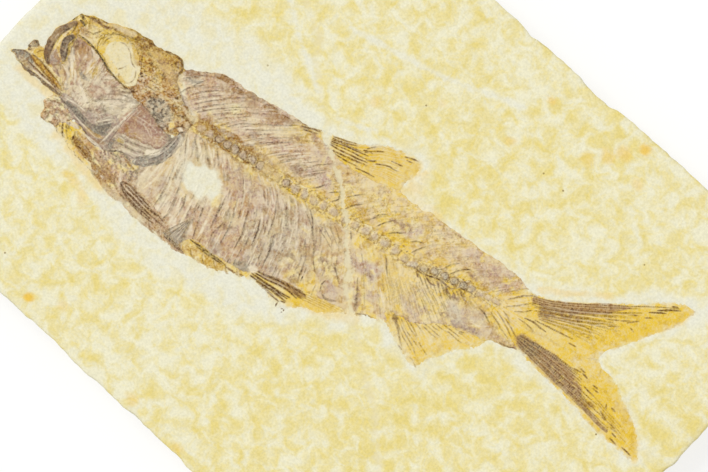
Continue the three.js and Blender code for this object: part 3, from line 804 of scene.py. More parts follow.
def draw_hole(sheet):
    """The place in the belly where the film has come away and clean rock shows."""
    sheet.area(
        [(41.6, -8), (43, -6.8), (45.2, -6), (46.8, -5.8), (48.4, -6.6), (50, -8), (51, -9.8), (51.2, -11.8),
         (50, -12.8), (48.6, -12), (47.8, -13.2), (46.4, -13.4), (45.4, -12.6), (44, -12.8), (42.6, -11.4)],
        soft=0.9, film=-1, bone=-1, ink=-1, chalk=-1, gold=-0.86, cool=-1, rise=-0.12,
    )
    sheet.area([(42.6, -11.6), (44.4, -12.4), (46, -13.6), (44, -14.6), (42.6, -13.4)], soft=0.6, gold=0.55,
               film=-0.5)
    sheet.area([(49.6, -11), (51.2, -9.2), (51.8, -10.8), (51.4, -13), (50, -13.4)], soft=0.5, gold=0.5,
               film=-0.6)
    sheet.area([(47.2, -4.8), (48.4, -5.2), (49.8, -6.6), (50, -7.6), (48.4, -6.8)], soft=0.4, gold=0.6,
               bone=0.45)
    sheet.area([(41.8, -5.6), (43.4, -5.8), (44.4, -6.6), (43.6, -7.4), (42, -7.2)], soft=0.4, gold=0.4,
               bone=0.3)
    sheet.area([(45, -5.4), (46, -5.2), (46.6, -6.2), (45.6, -6.6)], soft=0.3, gold=0.3, bone=0.4)


def draw_rear_flank(sheet):
    """Scattered strong marks between the middle of the body and the tail."""
    for x, y, size, gold in (
        (67, 3.2, 2.2, -0.7), (63, 3, 2.4, -0.7), (66.6, -5, 2, -0.6), (83, -7.6, 3, -0.9),
        (86.4, -8.6, 2.2, -0.8), (79, -14.4, 2.2, -0.7), (87.4, 3.4, 2.2, -0.7), (77, 7.6, 1.6, -0.6),
        (90, 7, 2, -0.7), (96, 3.6, 1.8, -0.5), (87.6, -11.4, 1.8, -0.8), (85.2, 5, 1.3, -0.4),
        (64.6, 7, 1.8, -0.5), (92.6, 2.2, 1.6, -0.4),
    ):
        turn = np.linspace(0, 2 * math.pi, 9)[:-1]
        wobble = 1 + 0.3 * np.sin(turn * 2 + x) + 0.15 * np.sin(turn * 3 + y)
        points = [(x + size * w * math.cos(a), y + 0.62 * size * w * math.sin(a)) for a,
                  w in zip(turn, wobble)]
        sheet.area(points, soft=0.9, mask=speckled(1.1, 22, 0.2, 0.5), film=0.85, gold=gold, cool=-0.6,
                   chalk=-0.4)
    for x, y, size in (
        (74, 4.4, 1.4), (78.4, 5.6, 1.7), (83.4, 5.4, 1.2), (81.6, 3, 1.5), (90.4, 3.2, 1.6),
        (70.2, 0.7, 2), (79.6, -4.4, 2.2), (68.6, -7.4, 1.1), (75.6, -15.6, 2), (84.6, -4, 2),
        (88, -7, 1.6), (91, -6.6, 1.8), (82.2, 7.4, 2.2), (61.8, 8.6, 1.2), (99.4, 1.6, 1.4),
        (95.4, 6.2, 1.4), (85.8, 1, 2), (84.6, 4.4, 2), (91.4, 4.4, 1.6), (64, -3, 2.2), (70, -3.6, 2),
        (53, -3, 1.4), (92, -4, 2.4), (88.6, -9, 2.6), (92.6, -10.6, 2.8), (57.4, 9.6, 2.2), (84, 5, 2.4),
        (91.4, 4.6, 1.8), (103.6, 4.8, 1.8), (110.6, 4.6, 1.8), (99.6, 6.6, 1.6), (44, 1.8, 2),
        (49, -6.6, 1.3), (74.6, -17, 1.6), (96, -3.6, 2), (110, -3.4, 1.4),
    ):
        turn = np.linspace(0, 2 * math.pi, 9)[:-1]
        points = [(x + size * math.cos(a), y + 0.6 * size * math.sin(a)) for a in turn]
        sheet.area(points, soft=0.9, mask=speckled(1.1, 23, 0.2, 0.5), gold=0.85, film=-0.85)
    sheet.area([(86, -6.4), (88, -7), (88.4, -8.6), (87, -8.4)], soft=0.5, gold=0.9, bone=0.3)
    sheet.area([(91.6, 5.6), (93, 6.6), (93.4, 7.8), (92, 7.2)], soft=0.4, bone=0.35, gold=0.4)
    sheet.area([(73.6, 1), (76, 0.4), (78.4, 1.4), (78, 3.6), (77.4, 8), (74.4, 8), (73, 4)], soft=1,
               mask=speckled(1.3, 32, 0.2, 0.5), film=-0.5, gold=0.7, ink=-0.3)
    # Worn places where pale rock shows.
    sheet.area([(62, -7), (63.6, -6.6), (64.6, -8.6), (63.6, -11), (62.4, -11)], soft=0.8, film=-0.5,
               ink=-0.4, chalk=0.2)
    sheet.area([(73, -4), (76, -4.6), (79, -6.4), (77, -8), (73.8, -9), (72.4, -7)], soft=1, film=-0.5,
               gold=0.6, chalk=0.2)
    sheet.area([(85.4, -2.8), (92, -3), (98, -2.6), (97, -5), (92.4, -5.6), (92, -11.6), (89.4, -12.4),
                (88, -8)], soft=1, mask=speckled(1.3, 28, 0.1, 0.4), film=-0.85, gold=0.8, ink=-0.5,
               bone=-0.6, chalk=0.2)
    for x, y, size in (
        (55, -14.6, 1.3), (84.4, -8.6, 0.9), (101.6, -7.4, 1), (57.6, 7.4, 1.3), (61.4, 2.2, 1.4),
        (46.4, 10.2, 1.1), (75.2, -10.8, 1), (69, -13.4, 1.1), (71.8, -17, 1.3), (85.6, 3.6, 1.5),
        (83, 3.3, 1), (101.3, -3.4, 1), (102.6, 2, 0.9), (59.6, -8, 1), (77.4, -11.3, 0.9),
    ):
        ring = [(x + size * math.cos(a), y + 0.7 * size * math.sin(a)) for a in np.linspace(0, 5.5, 8)]
        sheet.area(ring, soft=0.5, mask=speckled(0.7, 29, 0.25, 0.5), film=0.8, bone=0.25, ink=0.35,
                   chalk=-0.6)
    sheet.area([(50.6, 6.4), (53.4, 7.6), (55.8, 9), (57.6, 10.4), (57.6, 8), (55, 6.2), (52, 5.6)], soft=0.7,
               film=-0.7, ink=-0.5, gold=0.3, chalk=0.4)
    sheet.area([(52, -10.4), (54, -12), (57.4, -12.6), (56, -13.6), (53, -13)], soft=1, film=-0.4, chalk=0.25)
    for x, y, size in ((43, -4.4, 1.5), (48, -13, 1.5), (66.6, -4.3, 1.3), (70.6, -7.4, 1.1),
                       (105, -1.6, 1.7), (37.4, -21.6, 1.8)):
        ring = [(x + size * math.cos(a), y + 0.8 * size * math.sin(a)) for a in np.linspace(0, 5.5, 8)]
        sheet.area(ring, soft=0.9, film=-0.35, ink=-0.6, bone=-0.4, chalk=0.25)
    sheet.area([(84, -12.4), (85, -12.8), (86, -15.6), (85, -16.2), (84.2, -14.4)], soft=0.4, film=0.7,
               bone=0.2, ink=0.1)
    # Warmer scales along the rear of the back, with gold between them.
    sheet.area([(78, 9), (86, 8.4), (94, 8), (104, 7.2), (113, 5.4), (112, 3), (104, 3), (92, 3.4),
                (82, 3.6)], soft=1.4, film=-0.14, cool=-0.9, gold=0.3)
    sheet.area([(82, 8.4), (92, 7.8), (104, 6.8), (112, 5.6), (112, 4.4), (104, 5), (92, 6), (82, 5)],
               soft=0.8, mask=speckled(1.4, 120, 0.3, 0.55), film=-0.4, gold=0.8, ink=-0.3)
    sheet.area([(92, 1), (97, 0.8), (98, 3), (95, 4.6), (92, 3.6)], soft=1, film=-0.3, ink=-0.4, gold=0.7)
    sheet.area([(72.4, 6), (77.6, 5.4), (78.4, 9), (73, 9.4)], soft=0.8, film=-0.4, ink=-0.4, gold=0.5,
               chalk=0.2)
    # Bare rock along the back between the fin and the scales.
    sheet.area([(74, 8.2), (78.6, 8.8), (83, 7.2), (87.4, 8), (86, 9.4), (80, 9.6), (75, 9)], soft=0.7,
               film=-0.8, gold=0.55, ink=-0.7)
    sheet.lines(
        [
            [(72.6, 2.8), (74, 4), (75.4, 5.2)],
            [(73.4, 0.5), (74.4, 1.9), (75.8, 3)],
            [(77.5, 0), (78.5, 1), (79.6, 2.2)],
            [(79, 1.8), (80, 3), (81.2, 3.9)],
            [(80.5, 0.6), (81.8, 2.4), (83.2, 3.9)],
            [(96.5, 0.5), (97.4, 1.9), (98.6, 3)],
            [(98, 0), (99.4, 1.8), (101, 2.9), (102.4, 2.8)],
            [(88, 1.5), (89, 2.2), (90.4, 2.7)],
            [(89.2, -0.2), (90.2, 1.2), (91, 2.2)],
            [(94.6, -0.8), (95.8, -0.2), (96.6, 0.4)],
            [(65.6, 0.6), (66.6, 1.4), (67.4, 2.6)],
            [(70.4, 0.4), (71.2, 1.4), (70.8, 2.6)],
            [(69, 1.6), (70.8, 2.8), (71.6, 2.4)],
            [(83, 0.4), (84.6, 1.6), (86, 2.4)],
            [(66.8, -4), (69.6, -6.2), (71.8, -9), (73.2, -11.6), (74.8, -13.6)],
            [(70, -9.4), (71.6, -12), (72.3, -15), (72.6, -18)],
            [(77, -10), (78.4, -11.4), (79.8, -12.8)],
            [(82.6, -10), (83.6, -12), (84.8, -14), (85.6, -16)],
            [(83.6, -11.6), (84.4, -13.6), (85.2, -15.8)],
            [(85.4, -3.8), (86.4, -5.2), (87.6, -6.8)],
            [(76.6, -2.8), (77.6, -4.2)],
            [(77.4, -13.8), (77.1, -15), (77.6, -16.4)],
            [(60.2, -4), (62, -8), (62.8, -12)],
            [(63.6, -12), (64.8, -15), (65, -17.6)],
            [(57, -10.5), (58.2, -14), (58.4, -18)],
            [(54.8, -11.6), (55.4, -15), (55.6, -19)],
            [(53.9, -14.4), (53.2, -17), (53.4, -19)],
            [(51.7, -9.6), (52, -13), (52.2, -17)],
        ],
        width=0.32, ink=0.7, cool=0.2, rise=0.08, gaps=0.45,
    )
    sheet.fan([(70.4, -5.2), (74.6, -3)], [(75.6, -8), (77, -5.8)], 7, width=0.22, ink=0.5, reach=(0.7, 1))
    sheet.line([(81.2, -16.3), (79.4, -17), (78, -16.4)], 0.5, ink=0.55, bone=0.3, gaps=0.3)
    sheet.area([(77.8, -14.6), (79.6, -13.4), (81.4, -15.4), (81.6, -16.8), (78.2, -17)], soft=0.8, film=0.7,
               bone=0.2)
    sheet.line([(85.6, -16.6), (87.6, -15.8), (89.4, -15.4)], 0.4, ink=0.5, bone=0.4, gaps=0.5)
    sheet.line([(87.4, -9.4), (88.6, -10.8), (90.2, -12.2)], 0.24, chalk=0.9, film=-0.5)
    sheet.area([(60, -19.4), (62.4, -18.6), (63.8, -19.6), (62.6, -20.8), (60.2, -21)], soft=0.5, film=1,
               cool=0.9, ink=0.25)
    # Clear golden places.
    for x, y, length in ((84, 5, 2.4), (91, 4.6, 1.6), (58, 9.8, 2), (63, -2.2, 2.2), (93, -3.2, 4.6),
                         (74, -17.2, 2.6), (102, 5.2, 1.6)):
        ring = [(x + length * math.cos(a), y + 0.9 * math.sin(a)) for a in np.linspace(0, 5.5, 8)]
        sheet.area(ring, soft=0.8, gold=0.95, film=-0.8, ink=-0.3)
    sheet.area([(73.6, 7.8), (78, 8.2), (78.6, 6), (74, 5.6)], soft=0.8, film=-0.5, ink=-0.5, gold=0.35,
               chalk=0.25)
    sheet.area([(64.4, -12), (68, -12.4), (67.4, -16), (64.6, -15.8)], soft=1, cool=0.5, gold=-0.5)
    sheet.area([(68, -10), (72, -10), (72.4, -14), (68.4, -14)], soft=1, ink=-0.4, film=-0.15)


def draw_stem(sheet):
    """The tail stem below the backbone: short spines, and the slender bones that carry the anal fin."""
    sheet.fan([(87.2, -7), (90, -6.2), (95, -5), (101, -3.4)],
              [(91.8, -12.6), (96, -12.2), (101.6, -9.8), (106.6, -7.6)], 24, bend=0.03, reach=(0.6, 1),
              width=0.2, ink=0.45, rise=0.06, gaps=0.7, seed=4)
    sheet.fan([(87.6, -7), (90.4, -6.2), (95.4, -5), (101, -3.6)],
              [(92.2, -12.4), (96.4, -12), (101.4, -9.8), (106, -7.6)], 18, bend=0.03, reach=(0.7, 1),
              width=0.3, chalk=0.3, gold=0.7, film=-0.7, gaps=0.5, seed=6)
    sheet.fan([(92, -3), (98, -2.4), (105, -1.8)], [(95.4, -5.6), (101, -4.8), (111, -4)], 12, width=0.26,
              ink=0.6, reach=(0.5, 1), gaps=0.3, seed=8)
    sheet.area([(100.6, -4.6), (103.6, -5), (105.8, -6.6), (104.6, -7.8), (101.8, -7.4)], soft=0.8, film=0.5,
               cool=0.5, gold=-0.6, ink=-0.6, chalk=0.2)
    sheet.area([(104.6, -4), (107, -3.2), (109, -4.4), (108, -5.6), (105.6, -5.4)], soft=0.8, film=0.4,
               gold=-0.4, ink=-0.7, chalk=0.2)
    sheet.area([(91.6, -8.4), (95.4, -9.8), (96.4, -11.2), (93.6, -10.6)], soft=0.6, film=0.8, gold=-0.5)
    sheet.area([(109, -4.4), (112.8, -5.2), (116.6, -5.8), (113.6, -6.8), (109.6, -7.2)], soft=0.5, film=0.6,
               bone=0.15)
    sheet.area([(103, -7.4), (106, -7), (109, -6.2), (109.6, -7.2), (106, -8.4), (103.6, -8.6)], soft=0.4,
               film=0.9, cool=0.5)
    sheet.line([(106.6, -6), (108.6, -5.8), (110.2, -4.8)], 0.3, chalk=0.7, gold=0.3)
    sheet.line([(113.6, -6.6), (115.6, -6.4), (117, -5.9)], 0.3, ink=0.6, bone=0.4)
    sheet.line([(107.4, -2.9), (108.6, -3.4), (109.8, -4.2)], 0.4, ink=0.75)
    sheet.lines([[(101, -1.6), (103, -2.2), (106, -3.4)], [(96.8, -2), (98.4, -3), (100.8, -4.2)]], width=0.4,
                ink=0.6, gaps=0.3)
    sheet.area([(87, -6.4), (92, -6), (95, -8), (94, -11.6), (90.6, -14.2), (87.6, -13), (87.4, -10)], soft=1,
               film=-0.25, ink=-0.3, chalk=0.1, gold=0.4)
    sheet.area([(102.6, 0), (106, -0.4), (107.2, -2.4), (104.8, -4), (102.8, -2.6)], soft=0.7, film=-0.4,
               ink=-0.6, gold=0.6)
    # The scales that reach the tail along the back.
    sheet.area([(103, 3), (106, 2.2), (110, 2.6), (112.6, 4.8), (112, 6), (106, 7), (100, 7.2), (98, 5)],
               soft=0.9, mask=speckled(1.6, 121, 0.25, 0.5), film=0.75, gold=-0.3, cool=-0.8)


# Where the middle of each vertebra lies along the fish.
VERTEBRAE = (
    40.4, 42.4, 44.6, 46.6, 48.4, 50.3, 52.4, 54.3, 56.2, 58.2, 60.6, 62.7, 64.8, 67.1, 69.3, 71.8, 74.4,
    76.8, 79.1,
    81.3, 83.7, 86.2, 88.6, 90.9, 93, 95.1, 97.4, 99.5, 101.6, 103.5, 105.3, 107, 108.8,
)  # fmt: skip


def draw_backbone(sheet):
    """A chain of spool-shaped vertebrae: brown and crushed in front, pale in the middle, grey behind."""
    path = smooth(BACKBONE, 12)
    sheet.line(BACKBONE, 3.4, ends=(0.9, 0.5), gold=0.75, film=-0.5, gaps=0.4)
    sheet.area(
        [(38, 1), (60, 0.8), (90, 0.4), (105, 1.2), (105, -1.8), (90, -3.2), (60, -2.8), (38, -2)], soft=0.5,
        mask=speckled(0.45, 101, 0.5, 0.68), bone=0.5, ink=0.3,
    )
    sheet.area([(38, 1.2), (44, 1.5), (50, 1.6), (57, 1), (58, -1.6), (50, -2.3), (44, -1.9), (38, -1.5)],
               soft=0.5, mask=speckled(0.6, 104, 0.25, 0.5), bone=0.85, gold=0.6, ink=0.2)
    sheet.area([(41.5, 0.9), (43.6, 1.5), (46, 1.9), (50, 1.7), (55, 1.4), (54, 0.4), (46, 0.3), (42, 0)],
               soft=0.3, mask=speckled(0.5, 105, 0.25, 0.5), bone=1, gold=0.75, ink=0.3)
    greyness = ([40, 46, 57, 60, 72, 90, 94, 103, 106], [0.2, 0.5, 0.3, 0.4, 0.3, 0.4, 0.9, 0.9, 0.2])
    crispness = (
        [40, 44, 54, 57, 61, 64, 88, 92, 102, 105],
        [0.3, 0.75, 0.75, 0.5, 0.75, 0.4, 0.3, 0.65, 0.75, 0.3],
    )
    for number, x in enumerate(VERTEBRAE):
        y = float(np.interp(x, path[:, 0], path[:, 1]))
        size = float(np.interp(x, [38, 60, 90, 104, 111], [0.95, 1, 0.9, 0.85, 0.5]))
        grey = float(np.interp(x, *greyness))
        crisp = float(np.interp(x, *crispness))
        turn = np.linspace(0, 2 * math.pi, 10)
        body = [(x + 0.85 * math.cos(a), y + 0.8 * size * math.sin(a)) for a in turn]
        sheet.area(body, soft=0.3, film=0.5 + 0.4 * crisp, gold=-0.3, cool=grey, bone=-0.7, ink=-0.6,
                   chalk=0.15, rise=0.24)
        sheet.area(body, soft=0.3, ink=0.35 * crisp, mask=speckled(0.4, 103, 0.5, 0.7))
        if crisp > 0.6:
            ring = [(x + 0.8 * math.cos(a), y + 0.85 * size * math.sin(a)) for a in turn]
            sheet.line(ring, 0.3, ends=(1, 1), ink=crisp, bone=0.4, gaps=0.4, seed=number)
            sheet.line([(x - 0.1, y - 0.5 * size), (x + 0.15, y), (x, y + 0.5 * size)], 0.26, ink=0.5 * crisp,
                       gaps=0.3, seed=number + 40)
        sheet.line([(x + 1, y - 0.95 * size), (x + 0.95, y), (x + 1, y + 0.85 * size)], 0.32, ink=0.9 * crisp,
                   bone=0.5, gaps=0.5, rise=0.12, seed=number + 80)
        for side, strength in ((-1, 0.9), (1, 0.6)):
            waist = [(x - 0.9, y + side * 0.95 * size), (x, y + side * 0.8 * size),
                     (x + 0.9, y + side * 0.95 * size)]
            sheet.line(waist, 0.26, ink=strength * crisp, bone=0.3, gaps=0.4, seed=number + 120)
    sheet.area([(35.8, 1), (37, 1.5), (38.8, 1), (39, 0), (37.8, -0.4), (36.6, 0)], soft=0.5,
               mask=speckled(0.8, 30, 0.25, 0.5), film=-0.8, bone=-0.75, ink=-0.9, gold=-0.2, chalk=0.3)
    sheet.area([(50.5, 2.8), (54, 3.2), (58.6, 1.8), (59.4, -1), (58, -3.8), (55.6, -3.4), (54.4, -0.6),
                (51, 1)], soft=0.9, mask=speckled(0.9, 31, 0.1, 0.45), film=-0.5, bone=-0.3, ink=-0.4,
               gold=0.75, chalk=0.15)
    sheet.line([(91, -2.3), (92.4, -2.7), (94, -2.6), (95.6, -2.2), (97.2, -2), (99.4, -2.3), (100.8, -1.8)],
               0.4, ink=0.7, bone=0.6, gaps=0.4)
    sheet.lines(
        [
            [(91.8, -2.8), (93, -3.8)], [(94, -2.8), (95.6, -3.6), (96.8, -3.4)],
            [(96.6, -2.4), (97.6, -3.4)], [(98.2, -2), (99.2, -3), (100.4, -3.6)],
            [(101.8, -2), (103, -2.8), (104.2, -3)],
        ],
        width=0.36, ink=0.6, bone=0.9, gold=0.4, gaps=0.3,
    )
    sheet.area([(89, -0.4), (96, 0.6), (97, -0.6), (95, -1.4), (90, -2)], soft=0.7, ink=-0.3, film=-0.2,
               chalk=0.15)


# ---- The head ----------------------------------------------------------------------------------------------


def speckled(size, seed, low=0.45, high=0.62):
    """A mask of small grains."""
    return lambda x, y: ramp(grain(x, y, size, seed, 2), low, high)


def draw_skull(sheet):
    x, y = sheet.x, sheet.y
    skull = sheet.owner == sheet.names.index("skull_roof_and_braincase")
    rear = ramp(x, 20, 25)
    tones = sheet.tones
    fine = 0.55 * grain(x * 0.8, y, 0.3, 51, 2) + 0.45 * grain(x, y * 1.3, 0.65, 60, 2)
    dark = 0.55 * grain(x * 0.8, y, 0.28, 54, 2) + 0.45 * grain(x * 0.7, y * 1.2, 0.8, 68, 2)
    light = 0.55 * grain(x * 0.8, y, 0.3, 55, 2) + 0.45 * grain(x, y * 1.3, 0.7, 69, 2)
    coarse = grain(x, y, 1.8, 52, 3)
    low = ramp(y, 6.5, 1) * rear
    tones["gold"][skull] = (0.85 - 0.3 * low + 0.4 * (coarse - 0.5))[skull]
    plates = 0.75 * ramp(coarse, 0.3, 0.7) * ramp(fine, 0.3, 0.6)
    tones["bone"][skull] = (0.36 * ramp(fine, 0.45, 0.65) + rear * (0.35 + plates))[skull]
    tones["film"][skull] = ((0.3 + 0.45 * low) * ramp(grain(x, y, 2.0, 53, 2), 0.45, 0.6) * rear)[skull]
    tones["ink"][skull] = ((0.25 + 0.55 * rear) * ramp(dark, 0.52, 0.68))[skull]
    tones["chalk"][skull] = ((0.3 + 0.3 * low) * ramp(light, 0.54, 0.68))[skull]
    sheet.rise[skull] += (0.2 * rear * (fine - 0.5) + 0.25 * rear * (coarse - 0.5))[skull]
    sheet.area([(10.6, 7.2), (15, 8.4), (20, 9.2), (30, 9.2), (31, 6), (26, 5.6), (21, 6.4), (15, 7)],
               soft=0.8, mask=speckled(0.6, 35, 0.2, 0.5), bone=0.45, gold=0.7, ink=0.15, chalk=-0.4)
    # Orange-brown roof bones.
    sheet.area([(20, 8.9), (24, 8.8), (28, 9), (30.6, 8.6), (31, 6.8), (28, 6.4), (25, 7), (22, 6.6),
                (20, 7.4)], soft=0.5, mask=speckled(0.7, 56, 0.15, 0.5), bone=0.7, gold=0.85, film=-0.8)
    sheet.area([(30, 8.7), (31, 7.6), (31.3, 5.2), (30.4, 5), (30.1, 7)], soft=0.3,
               mask=speckled(0.5, 57, 0.2, 0.5), bone=1, ink=0.55)
    sheet.area([(20, 8.6), (22, 9), (25.4, 8.8), (25, 7.8), (23, 7.2), (20.4, 7.4)], soft=0.4,
               mask=speckled(0.6, 34, 0.2, 0.5), bone=0.9, ink=0.5, chalk=-0.8)
    sheet.area([(24, 7.6), (27, 7.9), (30.6, 6.4), (32.8, 4.2), (30.6, 3.8), (27.4, 5.4), (24.6, 6.4)],
               soft=0.6, ink=-0.5, gold=0.85, chalk=0.2, bone=-0.3)
    # The grey-green crushed block at the back of the braincase.
    sheet.area([(29.6, 0.2), (31.4, 0.6), (33.4, -0.4), (34.4, -2.4), (33.8, -4.4), (31.6, -3.8),
                (29.4, -2.8), (28.4, -1.4)], soft=0.6, film=0.75, cool=0.9, bone=-0.6, gold=-0.6, chalk=0.25)
    sheet.area([(29.4, 0.4), (33.6, 0.2), (34.6, -2.4), (33.8, -4.8), (31.4, -3.9), (28.2, -1.6)], soft=0.5,
               mask=speckled(0.55, 58, 0.5, 0.66), ink=0.72, cool=0.6, rise=0.06)
    sheet.area([(34, 1), (38, 0), (38, -2), (36.6, -4), (34.6, -4.4), (33.8, -2)], soft=0.5,
               mask=speckled(0.55, 59, 0.46, 0.66), ink=0.72, bone=0.4)
    sheet.area([(34.5, -3.2), (35.2, -2.5), (35.9, -3.2), (35.3, -4)], soft=0.2, gold=0.75, ink=-1, bone=-0.9,
               film=-0.8, cool=-0.8, chalk=-0.5, rise=0.1)
    sheet.area([(36.5, -2.8), (37, -2.3), (37.5, -2.9), (37, -3.4)], soft=0.2, chalk=0.9, ink=-1, bone=-0.9)
    # Dark edge of the roof, broken.
    sheet.lines(
        [
            [(8.9, 6.9), (10.4, 7.1), (12, 7.4), (13.6, 7.9)],
            [(10, 6.9), (11.8, 7), (13.6, 7), (15.2, 7.6), (17, 7.5), (19, 7.8), (20.6, 8.1)],
            [(17.4, 8.9), (19, 9.1), (20.4, 9.1), (21.8, 9.3)],
            [(21.6, 9.1), (23.2, 8.9), (24.6, 9.1)],
            [(24.8, 9.2), (27, 9.1), (28.4, 9.2), (29.8, 9.1), (30.5, 8.6)],
            [(30.2, 8.8), (31, 7.6), (31.1, 5.4)],
        ],
        width=0.5, ends=(0.6, 0.7), ink=0.8, bone=0.6, rise=0.1, gaps=0.6,
    )
    sheet.area([(10.4, 7.3), (13, 7.3), (14.6, 7.8), (15, 7), (12.6, 6.5), (10.6, 6.4)], soft=0.3, bone=0.45,
               film=0.5, ink=0.15)
    sheet.area([(13.4, 8.2), (16, 8.5), (19.4, 8.9), (19.6, 8.2), (16.4, 7.9), (14, 7.8)], soft=0.3, gold=0.8,
               ink=-0.6, chalk=0.2)
    sheet.lines(
        [
            [(10.3, 6.8), (10.5, 5.9), (10.9, 5.2)],
            [(12.4, 4.8), (13, 5.3), (13.4, 6)],
            [(13.6, 4.4), (13.9, 5.3), (14.4, 6.2)],
            [(10.2, 4), (11, 4.3), (12, 4.5), (12.8, 4.7)],
            [(10.8, 3.5), (11.2, 4)],
            [(15.4, 6.6), (16.6, 7.2), (18, 7.2)],
            [(21.2, 7.6), (22.4, 6.6), (23.2, 5.2), (23.9, 3.6)],
            [(31.2, 5.1), (32.4, 4), (33.8, 3), (35, 1.9), (36.8, 0.9)],
            [(25.4, 1.2), (27.4, 1.1), (29, 1)],
            [(27.4, 4.6), (28.6, 4.3), (29.6, 3.6)],
        ],
        width=0.3, ink=0.62, gaps=0.4,
    )
    sheet.area([(9.9, 6.6), (11, 6.9), (11.4, 5.4), (10.4, 5.2)], soft=0.3, gold=0.95, bone=0.4)
    sheet.area([(21, 5.6), (22.4, 5), (23.4, 4), (22.8, 3.6), (21.6, 4.2)], soft=0.3, gold=0.9, bone=0.45)
    sheet.area([(31.4, 4.4), (33, 3.2), (33, 2.2), (31.4, 2.8)], soft=0.4, gold=0.7, bone=0.35, ink=-0.4)
    # The slender dark bone below the eye.
    sheet.line([(9.9, 2.8), (11.5, 2.75), (13, 2.4), (14.6, 1.9), (16.2, 1.1), (17.8, 0.3), (19.4, -0.4),
                (20.8, -0.9), (22.4, -1.2), (24.2, -1.5)], 0.42, ends=(0.5, 0.4), ink=0.95, cool=0.8,
               bone=0.3, rise=0.2)
    sheet.line([(10, 3.1), (12, 3), (13.8, 2.5)], 0.2, chalk=0.7, ink=-0.4)
    # The snout is paler, and its roof is worn behind the eye.
    sheet.area([(9.4, 5.6), (13.6, 5.6), (14, 3), (9.8, 3)], soft=0.8, gold=-0.35)
    sheet.area([(16.4, 8.8), (19, 9.2), (19.2, 7.6), (16.8, 7.2)], soft=0.6, ink=-0.7, bone=-0.4)
    sheet.area([(9.6, 4.6), (11.6, 4.6), (11.8, 3.2), (10, 3.2)], soft=0.4, bone=0.4, film=0.4, ink=0.1)
    sheet.area([(26.4, 8.9), (29.6, 8.8), (29.8, 7.2), (26.8, 7.2)], soft=0.4,
               mask=speckled(0.6, 123, 0.2, 0.5), bone=0.5, gold=0.8, chalk=-0.5, film=-0.8)
    sheet.area([(14.4, 8.1), (17, 8.6), (19.4, 9), (19.4, 7.9), (16.6, 7.6)], soft=0.4, gold=-0.5, film=0.15)


def draw_eye(sheet):
    ring = [(15.3, 2.3), (14.8, 3.9), (15.3, 5.5), (16.6, 6.7), (18.6, 6.9)]
    sheet.tones["gold"][sheet.owner == sheet.names.index("eye_ring")] = 0.3
    sheet.line(ring, 2.2, ends=(0.8, 0.6), gold=0.85, gaps=0.3, rise=0.1)
    sheet.area([(15, 3.4), (15.4, 5.6), (17.6, 6.8), (21, 6.2), (22.8, 4.2), (23.9, 1), (22.6, -0.9),
                (19, 0.4), (16, 1.8)], soft=0.7, gold=0.3, rise=-0.12)
    sheet.line([(15.6, 2.4), (17.4, 1.4), (19.4, 0.6), (20.6, 0.2)], 1.4, gold=0.55)
    sheet.line([(20.2, 6.6), (21.6, 5.6), (22.8, 4.2)], 1.0, gold=0.75, bone=0.25)
    sheet.lines(
        [
            [(14.5, 3.2), (14.6, 5), (15.4, 6.3), (17, 7.1), (19, 7.2), (20.6, 6.8)],
            [(15, 3.6), (15.1, 4.8), (15.8, 6)],
            [(17.6, 5.7), (18.4, 6), (19.4, 5.8), (20.4, 5.2)],
            [(20.4, 5.2), (21.2, 4.1), (22, 3.4), (23, 3)],
            [(23.3, 2.6), (23.8, 1.2), (23.5, 0), (22.6, -0.8)],
            [(20.1, 1), (20.7, 1.8), (21.2, 2.6)],
            [(20.6, 0.4), (21, -0.4)],
        ],
        width=0.24, ink=0.5, bone=0.4, gaps=0.6,
    )
    sheet.lines([[(20.2, 4.9), (21, 3.9), (21.9, 3.1), (22.9, 2.7)], [(23, 2.2), (23.2, 1.2), (22.8, 0.4)]],
                width=0.3, chalk=0.6, gold=-0.4, gaps=0.5)
    sheet.area([(20.2, -0.4), (21.4, 0.2), (23, -0.4), (22, -0.9)], soft=0.3, gold=0.7, bone=0.2)


